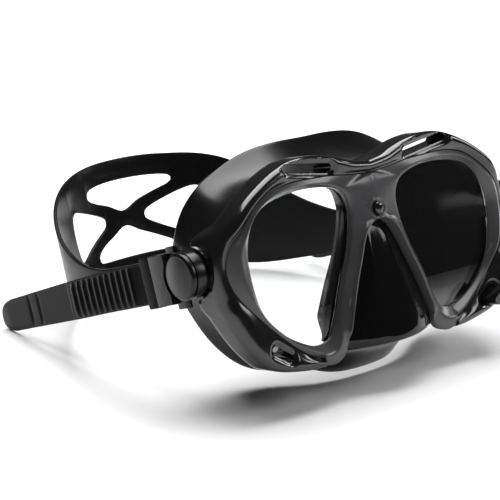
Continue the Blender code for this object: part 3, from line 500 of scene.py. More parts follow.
BEZEL_BACK, RIM_SINK = -0.3, 0.35
NUB_Z, NUB_BASE, NUB_STRETCH = 13.6, -5.2, 1.25
NUB_PROFILE = ((2.15, 0.6), (2.2, -0.1), (2.1, -0.8), (1.8, -1.35), (1.3, -1.75), (0.7, -1.95))


def at_length(dense, run, want):
    """The point of a closed dense polyline at a distance along it."""
    low, share = stretch_at(run, want % run[-1])
    return dense[low].lerp(dense[low + 1], share)


def matched(dense, marks, samples):
    """Points of a closed curve with the same number between each two marks, in the order of the marks."""
    run = lengths_of(dense)
    spots = []
    for mark in marks:
        i = min(range(len(dense)), key=lambda k: (dense[k] - Vector(mark)).length_squared)
        spots.append(run[i])
    points = []
    for low, high in zip(spots, spots[1:] + spots[:1]):
        gap = (high - low) % run[-1]
        points += [at_length(dense, run, low + gap * k / samples) for k in range(samples)]
    return points


def bezel_depth(aperture, outer, d, kind):
    """Depth of the bezel's front at a distance from the aperture's edge."""
    width = (outer - aperture).length
    nose = 1.0 - ease(aperture.x, 17, 34)
    ridge_at = 0.5 * width * (1 - nose) + 0.8 * nose
    ridge = -(2.1 + min(2.3, 0.5 * width)) * (1 - nose) - 3.5 * nose
    start = -1.3 * (1 - nose) - 2.8 * nose
    if d < ridge_at:
        t = d / ridge_at
        rise = t * (1 - nose) + math.sin(math.pi / 2 * t) * nose
        return start + (ridge - start) * rise
    t = (d - ridge_at) / (width - ridge_at)
    edge = {"crease": -2.9, "corner": -3.3, "arch": -6.4, "centre": -5.8}[kind]
    if kind == "corner":
        return ridge + (edge - ridge) * t ** 2.4
    return ridge + (edge - ridge) * t


def bridge_relief(spot, arch):
    """The raised bead round the nose arch, the hollow for the nub and the saddle of the bridge."""
    away = (spot - nearest(spot, arch)).length
    bead = math.exp(-((away - 0.8) / 0.45) ** 2) * ease(spot.y, -34, -30)
    from_nub = (spot - Vector((0, NUB_Z))).length
    hollow = 0.7 * ease(from_nub, 3.7, 2.8) - 0.35 * math.exp(-((from_nub - 4.0) / 0.4) ** 2)
    saddle = 0.8 * math.exp(-(spot.x / 6.5) ** 2) * ease(spot.y, 16, 26)
    return hollow + saddle - 0.75 * bead


def edge_kind(spot, arch, corner):
    """The part of the bezel's outer edge that a point lies on."""
    if spot.x < 1e-3:
        return "centre"
    if (spot - nearest(spot, arch)).length < 0.02:
        return "arch"
    return "corner" if (spot - nearest(spot, corner)).length < 0.02 else "crease"


def bezel_section(places, depths, arch):
    """One rib as (x, depth, z): the hidden edge at the lens, the front, and the wall behind its rim."""
    points = [(places[0].x, BEZEL_BACK, places[0].y)]
    for depth, spot in zip(depths, places):
        sweep = wrap(spot.x) * ease(spot.x, 62, 66)
        points.append((spot.x, depth + bridge_relief(spot, arch) + sweep, spot.y))
    x, depth, z = points[-1]
    if x > 1e-3:
        points[-1] = (x, depth + RIM_SINK, z)
    points.append((x, BEZEL_BACK + wrap(x), z))
    return points


def build_bezel():
    """The grey inner bezel: one half worked out rib by rib, its mirror image, and the stud between."""
    crease, corner, arch = smooth(CREASE, 300), smooth(LOWER_CORNER, 80), smooth(NOSE_ARCH, 160)
    apex, brow = NOSE_ARCH[-1][1], CREASE[0][1]
    centre = [Vector((0, apex + (brow - apex) * k / 60)) for k in range(61)]
    loop = crease + corner[1:] + arch[1:] + centre[1:]
    opening = smooth(APERTURE, 600, closed=True)
    opening.append(opening[0])
    inner = matched(opening, [rib[0] for rib in BEZEL_RIBS], RIB_SAMPLES)
    outer = matched(loop, [rib[1] for rib in BEZEL_RIBS], RIB_SAMPLES)
    depths, spots = [], []
    for a, b in zip(inner, outer):
        kind = edge_kind(b, arch, corner)
        width = (b - a).length
        shares = [0.0, 0.015, 0.04, 0.08] + [0.12 + 0.88 * k / 24 for k in range(25)]
        row = [bezel_depth(a, b, share * width, kind) for share in shares]
        depths.append(relaxed(row, 2))
        spots.append([a + (b - a) * share for share in shares])
    for _ in range(RIB_SMOOTHING):
        count = len(depths)
        depths = [[(p + 2 * q + r) / 4 for p, q, r in zip(depths[i - 1], depths[i], depths[(i + 1) % count])]
                  for i in range(count)]
    sections = [bezel_section(places, row, arch) for places, row in zip(spots, depths)]
    bm = bmesh.new()
    for side in (-1, 1):
        rows = [[from_upright(side * x, y, z) for x, y, z in points] for points in sections]
        skin(bm, rows, close_rows=True, close_ends=True)
    middle = [f for f in bm.faces if all(abs(v.co.x) < 1e-4 for v in f.verts)]
    bmesh.ops.delete(bm, geom=middle, context="FACES")
    add_mesh("bezel_shell", bm, bezel_grey, "mask", ["inner_bezel"], sharp=50)
    build_nub()


def build_nub():
    """The small domed stud on the bridge, above the nose arch."""
    rows = []
    for radius, lift in NUB_PROFILE:
        ring = []
        for k in range(32):
            angle = math.tau * k / 32
            height = NUB_Z + NUB_STRETCH * radius * math.sin(angle)
            ring.append(from_upright(radius * math.cos(angle), NUB_BASE + lift, height))
        rows.append(ring)
    add_mesh("bridge_nub", loft(rows), gloss_black, "mask", sharp=40)


# --- Lenses ---
LENS_MARGIN, LENS_THICKNESS = 1.2, 3.2
APERTURE_MIDDLE = Vector((38, -3))
LENS_EDGE = ((1.1, 0.0), (0.5, 0.0), (0.14, 0.12), (0.0, 0.5))  # (inset, depth) round the front edge


def build_lens(side):
    """A flat pane with rounded edges, a little larger than its opening."""
    dense = smooth(APERTURE, 180, closed=True)
    ways = [after - before for before, after in zip(dense[-1:] + dense, dense[1:] + dense[:1])]
    normals = [Vector((way.y, -way.x)).normalized() for way in ways]
    if (dense[0] - APERTURE_MIDDLE).dot(normals[0]) < 0:
        normals = [-n for n in normals]
    rows = []
    back_edge = [(inset, LENS_THICKNESS - depth) for inset, depth in reversed(LENS_EDGE)]
    for inset, depth in (*LENS_EDGE, *back_edge):
        rows.append([from_upright(side * q.x, depth, q.y)
                     for q in (p + n * (LENS_MARGIN - inset) for p, n in zip(dense, normals))])
    word = SIDE_NAME[side]
    add_mesh(word + "_lens_glass", loft(rows), glass, "mask", [word + "_lens"], sharp=30)


GASKET_DEPTH, GASKET_SLANT = 6.3, 0.12  # reach behind the glass at mid height, and its growth downwards
GASKET_REACH, GASKET_POINTS = (31, 24.4), 90  # it stays below these (x, z) of the aperture
GASKET_INNER, GASKET_OUTER = 0.1, 1.1
GASKET_ROUND, GASKET_END = 0.3, 0.7  # its edge rounding, and its reach at both ends


def build_gasket(side):
    """The silicone wall behind the nose side of a lens, which tapers away above and below."""
    dense = smooth(APERTURE, 600, closed=True)
    nose_side = [p for p in dense if p.x < GASKET_REACH[0] and p.y < GASKET_REACH[1]]
    points = resample(sorted(nose_side, key=lambda p: p.y), GASKET_POINTS)
    rows = []
    for i, p in enumerate(points):
        along = points[min(i + 1, len(points) - 1)] - points[max(i - 1, 0)]
        toward_nose = Vector((-along.y, along.x)).normalized()
        taper = ease(i, -3, 16) * ease(i, len(points) + 2, len(points) - 12)
        back = LENS_THICKNESS + GASKET_END + (GASKET_DEPTH - GASKET_END - GASKET_SLANT * p.y) * taper
        section = [(GASKET_INNER, LENS_THICKNESS), (GASKET_INNER, back - GASKET_ROUND),
                   (GASKET_INNER + GASKET_ROUND, back), (GASKET_OUTER - GASKET_ROUND, back),
                   (GASKET_OUTER, back - GASKET_ROUND), (GASKET_OUTER, LENS_THICKNESS)]
        spots = [(p + toward_nose * out, depth) for out, depth in section]
        rows.append([from_upright(side * spot.x, depth, spot.y) for spot, depth in spots])
    name = SIDE_NAME[side] + "_nose_gasket"
    add_mesh(name, loft(rows), skirt_silicone, "mask", sharp=50)


# --- Skirt ---
# Right half from the top to the bottom: x, z and depth behind the lens plane.
SKIRT_FRONT = [(0, 25.8, 4.2), (10, 26.6, 4.2), (25, 28.0, 4.2), (40, 28.2, 4.2), (50, 26.0, 4.2),
               (58, 20.6, 4.2), (64, 15.2, 4.4), (68.6, 9.6, 4.8), (70.2, 3, 5.0),
               (68.8, -5.2, 4.8), (64, -12.8, 4.4), (56, -21.2, 4.2), (47, -29.6, 4.2),
               (39.6, -35, 4.2), (33, -37.6, 4.0), (27, -38.6, 2.6), (21, -39.0, -1.8),
               (14.5, -38.9, -7.6), (7.5, -39.1, -10.6), (0, -39.2, -11.6)]
SKIRT_REAR = [(0, 43.5, 36), (15, 43.5, 36.4), (28, 42, 37.4), (39, 38.4, 39), (51, 32, 41),
              (59.5, 23, 43), (64.5, 12, 44), (66.2, 2, 44.4), (65.4, -8, 44), (62, -19, 42.4),
              (57, -30, 39.6), (50.5, -38.6, 36.4), (43.5, -43.6, 33), (36.5, -45.4, 29.4),
              (30, -45.8, 25.6), (24.5, -47.4, 22), (18, -49.8, 19), (12, -51.0, 17.4),
              (6, -51.4, 16.8), (0, -51.5, 16.6)]
SKIRT_RINGS = (0, 0.04, 0.09, 0.15, 0.22, 0.3, 0.4, 0.5, 0.6, 0.7, 0.8, 0.88, 0.95, 1.0)
SHOULDER = 0.5  # how far the wall bulges behind the frame
SKIRT_THICKNESS = 1.5
SKIRT_SIDE_POINTS = 96
SEAL_THINNESS = 0.4  # the seal's thickness as a share of the wall's
# The seal's turn, as (inward, forward) from the rear ring at the temples.
FACE_SEAL = ((0.5, -0.3), (1.3, -0.4), (2.6, -0.2), (4.6, 0.3), (7.4, 0.8), (10.4, 1.1), (13.6, 1.4),
             (17, 1.8))
FLANGE_REACH, FLANGE_LOW_REACH, FLANGE_LOW_Z = 0.85, 0.3, -36  # its share of the way to the crease
LIP_HALF_WIDTH, LIP_TOP_Z, LIP_SMOOTHING = 23.5, -30, 14  # the pocket's lower edge
POCKET_ROWS = 34
POCKET_TOP_WIDTH, POCKET_TOP_Z = 3.2, 11.6
POCKET_FLANGE = 2.4
POCKET_EDGE, POCKET_BULGE = 0.5, 11.3


def mirrored_ring(half):
    """A closed ring from the points of its right half, which starts and ends on the middle plane."""
    other = [Vector((-p.x, *p[1:])) for p in half]
    return half[:-1] + list(reversed(other))[:-1]


def arch_half_width(z):
    """Half the width of the bezel's nose arch at a height."""
    points = [Vector(p) for p in NOSE_ARCH]
    for low, high in zip(points, points[1:]):
        if low.y <= z <= high.y:
            return low.x + (high.x - low.x) * (z - low.y) / (high.y - low.y)
    return points[0].x if z < points[0].y else 0.0


def skirt_rings():
    """Rings of (x, depth, z), from behind the lenses to the turned-in seal on the face."""
    front = mirrored_ring(smooth(SKIRT_FRONT, SKIRT_SIDE_POINTS))
    rear = mirrored_ring(smooth(SKIRT_REAR, SKIRT_SIDE_POINTS))
    rings = []
    for t in SKIRT_RINGS:
        spread = t ** 2.1
        ring = []
        for a, b in zip(front, rear):
            flat = Vector((a.x + (b.x - a.x) * spread, a.y + (b.y - a.y) * spread))
            away_from_nose = ease(abs(a.x) + max(0, a.y), 26, 40)
            shoulder = SHOULDER * math.sin(math.pi * ease(t, 0.06, 0.42)) * away_from_nose
            flat += flat.normalized() * shoulder
            ring.append((flat.x, a.z + (b.z - a.z) * t, flat.y))
        rings.append(ring)
    for inward, forward in FACE_SEAL:
        ring = []
        for p in rear:
            flat = Vector((p.x, p.y))
            at_temple = 0.5 + 0.5 * ease(abs(p.x), 22, 52)
            flat -= flat.normalized() * inward * at_temple
            ring.append((flat.x, p.z - forward, flat.y))
        rings.append(ring)
    return rings


def pocket_point(u, t, lip):
    """A point of the nose pocket: u across from -1 to 1, t from its lower edge to its top."""
    z = lip[2] + (POCKET_TOP_Z - lip[2]) * t
    half = max(arch_half_width(z) + POCKET_FLANGE, POCKET_TOP_WIDTH)
    low = 1 - t
    crown = max(0.0, 1 - abs(u) ** 2.4)
    ridges = 0.55 * math.exp(-((abs(u) - 0.36) / 0.12) ** 2) * ease(t, 0.02, 0.2) * ease(t, 0.95, 0.75)
    return (u * half, POCKET_EDGE - POCKET_BULGE * low ** 0.8 * crown - ridges, z)


def add_flange(bm, ring, places, lip):
    """The rim of the skirt that lies behind the frame, from its front ring out to the crease."""
    crease = smooth(CREASE, 300)
    outer = {}
    for i, (x, depth, z) in enumerate(places):
        if i not in lip:
            spot = Vector((abs(x), z))
            reach = FLANGE_REACH if z > FLANGE_LOW_Z else FLANGE_LOW_REACH
            spot = spot.lerp(nearest(spot, crease), reach)
            outer[i] = bm.verts.new(from_upright(math.copysign(spot.x, x), depth - 0.2, spot.y))
    for i in outer:
        after = (i + 1) % len(places)
        if after in outer:
            bm.faces.new((ring[after], ring[i], outer[i], outer[after]))


def add_pocket(bm, polish, front, lip, lower):
    """The nose pocket, up from the skirt's lower lip; gives its rows."""
    half_lip = front[lip[-1]][0]
    rows = [lower]
    for r in range(1, POCKET_ROWS + 1):
        t = (r / POCKET_ROWS) ** 1.1
        row = []
        for i in lip:
            vert = bm.verts.new(from_upright(*pocket_point(front[i][0] / half_lip, t, front[i])))
            vert[polish] = 1.0
            row.append(vert)
        for i in range(len(lip) - 1):
            bm.faces.new((rows[-1][i], rows[-1][i + 1], row[i + 1], row[i]))
        rows.append(row)
    return rows


def build_skirt():
    """The wall from the lenses to the face, its seal and rim, and the nose pocket, as one skin."""
    bm = bmesh.new()
    polish = bm.verts.layers.float.new("polish")
    thin = bm.verts.layers.deform.verify()
    rings = skirt_rings()
    verts = skin(bm, [[from_upright(*p) for p in ring] for ring in rings], close_rows=True)
    for r, ring in enumerate(verts):
        for vert in ring:
            vert[thin][0] = ease(r, len(SKIRT_RINGS) - 4, len(SKIRT_RINGS) - 1)
    front = rings[0]
    lip = [i for i, p in enumerate(front) if abs(p[0]) < LIP_HALF_WIDTH and p[2] < LIP_TOP_Z]
    lip.sort(key=lambda i: front[i][0])
    add_flange(bm, verts[0], front, lip)
    rows = add_pocket(bm, polish, front, lip, [verts[0][i] for i in lip])
    edge_zone = rows[0] + rows[1][2:-2] + rows[2][2:-2]
    for ring in verts[1:3]:
        edge_zone += [ring[i] for i in lip[4:-4]]
    for _ in range(LIP_SMOOTHING):
        bmesh.ops.smooth_vert(bm, verts=edge_zone, factor=0.5, use_axis_x=True, use_axis_y=True,
                              use_axis_z=True)
    piece = add_mesh("skirt_shell", bm, skirt_silicone, "mask", ["skirt"])
    piece.vertex_groups.new(name="seal")
    shell = piece.modifiers.new("Thickness", "SOLIDIFY")
    shell.thickness = SKIRT_THICKNESS * MM
    shell.vertex_group = "seal"
    shell.invert_vertex_group = True
    shell.thickness_vertex_group = SEAL_THINNESS
    shell.offset = -1.0
    shell.use_even_offset = True
    finer = piece.modifiers.new("Subdivision", "SUBSURF")
    finer.levels = finer.render_levels = 1


# --- Strap ---
ROLLER_A, ROLLER_O, ROLLER_RADIUS = 15.2, 4.1, 1.8
ENTRY_A, LEAVE_A = 22.0, 30.0  # the strap runs straight between these places of the buckle
GAP = 0.3
STRAP_THICKNESS = 1.8
TURN_RADIUS = ROLLER_RADIUS + GAP + STRAP_THICKNESS / 2
TAIL_END = {-1: 147.0, 1: 134.0}
TAIL_HALF_WIDTH = (8.5, 8.1, 6.9)
TAIL_DROOP = {-1: 2.3, 1: 4.0}
BAND_STEP = 2.0  # the band's direction is taken over this distance each way
TIP_ROUND = 10.0
RIB_START, RIB_PITCH, RIB_COUNT = 34.0, 4.5, 11
RIB_HEIGHT, RIB_WIDTH = 0.9, 2.3
RIB_BORDER = 0.9  # the plain edge above and below the ribs
TAIL_STEP = 85.0  # behind the ribs the tail is a little thinner from here on
TAIL_GROOVES = (112.0, 120.0)
BAND_SLICE, TAIL_SLICE = 3.0, 5.0
RIB_EDGE = (-0.02, 0.15, 0.3, 0.5)  # slices beside each edge of a rib
ORIGIN_BACK = -LENS_MIDDLE.y
# Centre line of the band behind the head: x, y, z, half width and lean, from one buckle to the other.
BAND = [(-76.8, 50, 42.5, 8.5, 0), (-78.7, 73, 34.9, 8.9, 1), (-76.0, 94.5, 30.6, 11, 4),
        (-69, 117, 28.5, 16.8, 8), (-56, 139, 28.0, 23.0, 10), (-39, 158.5, 28.8, 26.7, 10),
        (-20, 171.5, 29.5, 28.4, 10), (0, 176.5, 29.6, 28.8, 10), (21, 174.5, 29.5, 28.4, 10),
        (42, 163.5, 28.7, 26.6, 10), (59.5, 144.5, 22.8, 20.2, 8), (71.3, 121, 21.8, 12.8, 5),
        (77.2, 97, 24.6, 8.9, 2), (79.0, 74, 32.1, 8.9, 0), (76.8, 50, 42.5, 8.5, 0)]
TOP_OPENING = [(0, 3.7), (9, 7.6), (19, 11.4), (25.6, 14.2), (26.4, 16.8), (22, 18.2), (8, 18.8),
               (-8, 18.8), (-19, 18.0), (-22.4, 16.4), (-22.2, 13.6), (-17, 10.6), (-9, 7.6)]
SIDE_OPENING = [(11.5, 0), (14.5, 3.4), (30, 9.8), (38, 11.8), (42.5, 8.8), (44, 0), (42.5, -8.8),
                (38, -11.8), (30, -9.8), (14.5, -3.4)]


class StrapPath:
    """The strap's centre line from the middle of the band, round one roller, to the tail's tip."""

    def __init__(self, side):
        self.side = side
        ends = [from_buckle(s, ROLLER_O - TURN_RADIUS, a, 0)
                for s, a in ((-1, ENTRY_A), (-1, LEAVE_A), (1, LEAVE_A), (1, ENTRY_A))]
        spots = ends[:2] + [Vector((x, y - ORIGIN_BACK, z)) for x, y, z, w, lean in BAND] + ends[2:]
        shapes = [(8.5, 0.0)] * 2 + [(w, lean) for x, y, z, w, lean in BAND] + [(8.5, 0.0)] * 2
        dense = smooth([Vector((*p, *shape)) for p, shape in zip(spots, shapes)], 481)
        split = min(range(len(dense)), key=lambda i: abs(dense[i][0]))
        half = dense[split:] if side > 0 else list(reversed(dense[:split + 1]))
        self.band = [(Vector(p[:3]), p[3], p[4]) for p in half]
        self.distances = lengths_of([p[0] for p in self.band])
        self.band_length = self.distances[-1]
        self.turn_start = self.band_length + ENTRY_A - ROLLER_A
        self.turn_end = self.turn_start + math.pi * TURN_RADIUS
        self.tail_end = TAIL_END[side]
        self.length = self.turn_end + self.tail_end - ROLLER_A

    def half_width(self, s):
        if s < self.band_length:
            return self.at_band(s)[1]
        if s < self.turn_end:
            return TAIL_HALF_WIDTH[0]
        along = 2 * (s - self.turn_end) / (self.length - self.turn_end)
        low, high = TAIL_HALF_WIDTH[:2] if along < 1 else TAIL_HALF_WIDTH[1:]
        return low + (high - low) * (along % 1 if along < 2 else 1)

    def at_band(self, s):
        """Centre, half width and lean of the band at a distance from its middle."""
        low, share = stretch_at(self.distances, s)
        (p, w, lean), (q, v, next_lean) = self.band[low], self.band[low + 1]
        return p.lerp(q, share), w + (v - w) * share, lean + (next_lean - lean) * share

    def frame(self, s):
        """Centre, direction away from the middle, and up, at a distance along the strap."""
        outward = Vector((self.side, 0, 0))
        if s < self.band_length:
            low, high = max(s - BAND_STEP, 0.0), min(s + BAND_STEP, self.band_length)
            direction = self.at_band(high)[0] - self.at_band(low)[0]
            if s < BAND_STEP:
                direction = outward.copy()
            direction.normalize()
            centre, _, lean = self.at_band(s)
            up = (Vector((0, 0, 1)) - direction * direction.z).normalized()
            turn = Matrix.Rotation(math.radians(-self.side * lean), 3, direction)
            return centre, direction, turn @ up
        if s < self.turn_start:
            a = ENTRY_A - (s - self.band_length)
            return from_buckle(self.side, ROLLER_O - TURN_RADIUS, a, 0), -ALONG, ACROSS
        if s < self.turn_end:
            angle = (s - self.turn_start) / TURN_RADIUS
            centre = from_buckle(self.side, ROLLER_O, ROLLER_A, 0)
            spoke = -outward * math.cos(angle) - ALONG * math.sin(angle)
            forward = outward * math.sin(angle) - ALONG * math.cos(angle)
            return centre + spoke * TURN_RADIUS, forward, ACROSS
        a = ROLLER_A + s - self.turn_end
        along_tail = max(0.0, a - RIB_START) / (self.tail_end - RIB_START)
        droop = TAIL_DROOP[self.side] * along_tail ** 1.3
        return from_buckle(self.side, ROLLER_O + TURN_RADIUS, a, -droop), ALONG, ACROSS

    def relief(self, s, h):
        """How far the outer face of the tail stands out: ribs, a step and two grooves."""
        a = ROLLER_A + s - self.turn_end
        edge = ease(self.half_width(s) - abs(h), RIB_BORDER, RIB_BORDER + 0.5)
        height = 0.0
        for k in range(RIB_COUNT):
            off = a - (RIB_START + RIB_PITCH * k + RIB_WIDTH / 2)
            if abs(off) < RIB_WIDTH:
                height += RIB_HEIGHT * ease(abs(off), RIB_WIDTH / 2, RIB_WIDTH / 2 - 0.45)
        for groove in TAIL_GROOVES:
            height -= 0.55 * ease(abs(a - groove), 1.4, 0.5) * ease(abs(h), 6.0, 4.6)
        return height * edge - 0.3 * ease(a, TAIL_STEP - 0.5, TAIL_STEP + 0.5)

    def place(self, s, t, h):
        """Place in the row of a point of the flat strap; t runs inward from its middle layer."""
        centre, direction, up = self.frame(s)
        if s > self.turn_end and t < 0:
            t -= self.relief(s, h)
        normal = up.cross(direction) if self.side > 0 else direction.cross(up)
        return centre + normal * t + up * h


def strap_outline(path):
    """(distance, half width) from the middle of the band to the tip of the tail."""
    last = path.length - TIP_ROUND
    count = 110
    points = [Vector((last * k / count, path.half_width(last * k / count))) for k in range(count + 1)]
    for k in range(1, 16):
        angle = math.pi / 2 * k / 15
        points.append(Vector((last + TIP_ROUND * math.sin(angle),
                              path.half_width(path.length) * math.cos(angle) ** 0.8)))
    points[-1].y = 0.0
    return points


def strap_loops(right, left):
    """The flat strap's outline and its four openings."""
    outline = []
    for path, sign in ((left, 1), (right, -1)):
        half = [Vector((sign * p.x, p.y)) for p in strap_outline(path)]
        run = half + [Vector((p.x, -p.y)) for p in reversed(half[:-1])]
        outline += run if sign > 0 else list(reversed(run))
    top, outer_side = smooth(TOP_OPENING, 60, closed=True), smooth(SIDE_OPENING, 60, closed=True)
    return [outline, top, [Vector((p.x, -p.y)) for p in top], outer_side,
            [Vector((-p.x, p.y)) for p in outer_side]]


def flat_strap(right, left):
    """The flat strap with its openings, as a closed plate of (distance, height, depth)."""
    curve = bpy.data.curves.new("strap_outline", "CURVE")
    curve.dimensions, curve.fill_mode = "2D", "BOTH"
    curve.extrude = STRAP_THICKNESS / 2
    for loop in strap_loops(right, left):
        kept = [p for p, q in zip(loop, loop[-1:] + loop[:-1]) if (p - q).length > 1e-3]
        spline = curve.splines.new("POLY")
        spline.points.add(len(kept) - 1)
        spline.use_cyclic_u = True
        for point, p in zip(spline.points, kept):
            point.co = (p.x, p.y, 0, 1)
    holder = add_object("strap_outline", curve)
    mesh = final_mesh(holder)
    bpy.data.objects.remove(holder, do_unlink=True)
    bm = bmesh.new()
    bm.from_mesh(mesh)
    bpy.data.meshes.remove(mesh)
    bmesh.ops.remove_doubles(bm, verts=bm.verts, dist=1e-3)
    bmesh.ops.dissolve_limit(bm, angle_limit=math.radians(0.5), verts=bm.verts,
                             edges=[e for e in bm.edges if e.is_manifold and e.calc_face_angle() < 0.01])
    rims = [e for e in bm.edges if e.is_manifold and e.calc_face_angle() > math.radians(60)]
    bmesh.ops.bevel(bm, geom=rims, offset=0.45, segments=2, profile=0.5, affect="EDGES")
    return bm


def slice_places(right, left):
    """Distances at which the flat strap is cut into strips, fine enough for its bends and ribs."""
    places = []
    for path, sign in ((left, 1), (right, -1)):
        steps = [BAND_SLICE * k for k in range(int(path.turn_start / BAND_SLICE))]
        steps += [path.turn_start + (path.turn_end - path.turn_start) * k / 14 for k in range(15)]
        first = path.turn_end + RIB_START - ROLLER_A
        for k in range(RIB_COUNT):
            start = first + RIB_PITCH * k
            steps += [start + off for off in RIB_EDGE]
            steps += [start + RIB_WIDTH - off for off in RIB_EDGE]
        for mark in (TAIL_STEP, *TAIL_GROOVES):
            middle = path.turn_end + mark - ROLLER_A
            steps += [middle + 0.4 * k for k in range(-4, 5)]
        far = path.turn_end + TAIL_STEP - ROLLER_A + 4
        steps += [far + TAIL_SLICE * k for k in range(int((path.length - far) / TAIL_SLICE))]
        places += [sign * s for s in steps]
    return sorted(set(round(p, 3) for p in places))


def build_strap():
    """The strap, cut flat into fine strips and then bent along its path."""
    right, left = StrapPath(-1), StrapPath(1)
    bm = flat_strap(right, left)
    for place in slice_places(right, left):
        near = [f for f in bm.faces
                if min(v.co.x for v in f.verts) < place < max(v.co.x for v in f.verts)]
        geom = near + list({e for f in near for e in f.edges}) + list({v for f in near for v in f.verts})
        bmesh.ops.bisect_plane(bm, geom=geom, plane_co=(place, 0, 0), plane_no=(1, 0, 0), dist=1e-4)
    border = TAIL_HALF_WIDTH[0] - RIB_BORDER
    for height in (-border, 0.5 - border, -4.5, 0.0, 4.5, border - 0.5, border):
        bmesh.ops.bisect_plane(bm, geom=bm.faces[:] + bm.edges[:] + bm.verts[:], plane_co=(0, height, 0),
                               plane_no=(0, 1, 0), dist=1e-4)
    for vert in bm.verts:
        s, h, t = vert.co
        path = left if s >= 0 else right
        vert.co = path.place(abs(s), t, h)
    add_mesh("strap_shell", bm, strap_silicone, "right_buckle", ["head_strap"], sharp=55)


# --- Buckles ---
CAP_RADIUS, CAP_RIM, CAP_TOP = 9.0, 7.3, 10.7
CAP_SEGMENTS = 72
HARD_EDGE = 28.0  # edges sharper than this, in degrees, are rounded
ROUNDED_PARTS = (("_buckle_housing", buckle_black, "buckle_gloss", 0.7),
                 ("_strap_keeper", satin_black, "buckle_satin", 0.35),
                 ("_release_button_upper", buckle_black, "buckle_gloss", 0.3),
                 ("_release_button_lower", buckle_black, "buckle_gloss", 0.3),
                 ("_lock_pawl", steel, "steel", 0.15), ("_strap_roller", satin_black, "buckle_satin", 0.2),
                 ("_pivot_post", steel, "steel", 0.2))


def softened(node, mat, width):
    """A finer copy of a CAD piece with rounded edges, on the piece's own body."""
    bm = bmesh.new()
    bm.from_mesh(frame["nodes"][node].data)
    bmesh.ops.scale(bm, vec=(1 / MM, 1 / MM, 1 / MM), verts=bm.verts)
    bmesh.ops.remove_doubles(bm, verts=bm.verts, dist=2e-3)
    bmesh.ops.dissolve_limit(bm, angle_limit=math.radians(1.0), verts=bm.verts, edges=bm.edges)
    hard = [e for e in bm.edges if e.is_manifold and e.calc_face_angle() > math.radians(HARD_EDGE)]
    bmesh.ops.bevel(bm, geom=hard, offset=width, segments=3, profile=0.5, affect="EDGES",
                    clamp_overlap=True)
    body = next(name for name, nodes in BODY_NODES.items() if node in nodes)
    return add_mesh(node + "_shell", bm, mat, body, [node], sharp=32, weld=0)


def build_cap(side):
    """The domed disc over the pivot, with a fine groove inside its rim."""
    profile = [(CAP_RADIUS - 0.4, CAP_RIM), (CAP_RADIUS, CAP_RIM + 0.4), (CAP_RADIUS, CAP_RIM + 1.1)]
    for k in range(1, 9):
        angle = math.pi / 2 * k / 8
        profile.append((CAP_RADIUS - 1.5 + 1.5 * math.cos(angle), CAP_RIM + 1.1 + 1.25 * math.sin(angle)))
    base = profile[-1][1]
    for radius in (7.2, 6.6, 5.6, 4.4, 3.2, 2.0, 0.9):
        profile.append((radius, base + (CAP_TOP - base) * math.cos(math.pi / 2 * radius / 7.5)))
    turns = [math.tau * k / CAP_SEGMENTS for k in range(CAP_SEGMENTS)]
    rows = [[from_buckle(side, o, radius * math.cos(turn), radius * math.sin(turn)) for turn in turns]
            for radius, o in profile]
    word = SIDE_NAME[side]
    add_mesh(word + "_cap_shell", loft(rows), buckle_black, word + "_buckle",
             [word + "_buckle_cap"], sharp=40)


def build_buckles():
    """Rounded copies of the plastic and steel pieces; clips, pins and springs keep the CAD's shape."""
    for side in (-1, 1):
        word = SIDE_NAME[side]
        build_cap(side)
        for part, mat, slot, width in ROUNDED_PARTS:
            softened(word + part, mat, width)
        for part in ("_pivot_clip", "_roller_pin", "_button_spring"):
            node = frame["nodes"][word + part]
            node.data.materials.clear()
            node.data.materials.append(steel)


build_frame()
build_bezel()
for lens_side in (-1, 1):
    build_lens(lens_side)
    build_gasket(lens_side)
build_skirt()
build_strap()
build_buckles()


# --- Camera, floor and light ---
CAMERA_PLACE = Vector((-416.2, -533.6, 234.5)) * MM
CAMERA_AZIMUTH, CAMERA_ELEVATION, CAMERA_ROLL = -38.09, 16.48, -1.28
FOCAL_LENGTH = 116.8  # for a 36 mm sensor


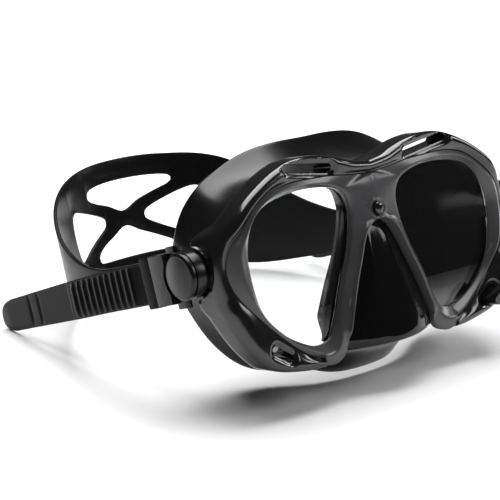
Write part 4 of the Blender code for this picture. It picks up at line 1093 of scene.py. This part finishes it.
def make_camera():
    """The photo's view."""
    data = bpy.data.cameras.new("camera")
    data.lens = FOCAL_LENGTH
    data.sensor_width = 36.0
    camera = add_object("camera", data)
    azimuth, elevation = math.radians(CAMERA_AZIMUTH), math.radians(CAMERA_ELEVATION)
    back = Vector((math.sin(azimuth) * math.cos(elevation), -math.cos(azimuth) * math.cos(elevation),
                   math.sin(elevation)))
    upright = (-back).to_track_quat("-Z", "Y")
    camera.rotation_mode = "QUATERNION"
    camera.rotation_quaternion = upright @ Matrix.Rotation(math.radians(CAMERA_ROLL), 3, "Z").to_quaternion()
    camera.location = CAMERA_PLACE
    bpy.context.scene.camera = camera


def soft_light(name, place, target, width, height, watts):
    """An area light at a place, turned towards a target."""
    data = bpy.data.lights.new(name, "AREA")
    data.shape = "RECTANGLE"
    data.size, data.size_y = width, height
    data.energy = watts
    lamp = add_object(name, data)
    lamp.location = place
    lamp.rotation_mode = "QUATERNION"
    lamp.rotation_quaternion = (Vector(target) - Vector(place)).to_track_quat("-Z", "Y")


def make_studio():
    """A white table under a broad soft light, in a dim room, with two panels for highlights."""
    world = bpy.data.worlds.new("studio")
    world.use_nodes = True
    sky = world.node_tree.nodes["Background"]
    sky.inputs["Color"].default_value = (1.0, 1.0, 1.0, 1.0)
    sky.inputs["Strength"].default_value = 0.06
    bpy.context.scene.world = world
    bpy.ops.mesh.primitive_plane_add(size=6.0, location=(0, 0, -0.0004))
    floor = bpy.context.object
    floor.name = "floor"
    paper, _ = new_material("white_paper", {"Base Color": (0.93, 0.93, 0.93, 1.0), "Roughness": 0.9,
                                            "Specular IOR Level": 0.1})
    floor.data.materials.append(paper)
    soft_light("overhead", (0.3, 0.9, 2.4), (0.1, 0.4, 0), 2.4, 2.4, 125)
    soft_light("front_panel", (0.94, -0.94, 0.95), (0, 0, 0.05), 0.8, 0.6, 9)
    soft_light("side_strip", (1.4, -0.2, 0.6), (0, -0.06, 0.05), 0.3, 0.6, 4)
    bpy.context.scene.view_settings.view_transform = "Standard"


make_camera()
make_studio()
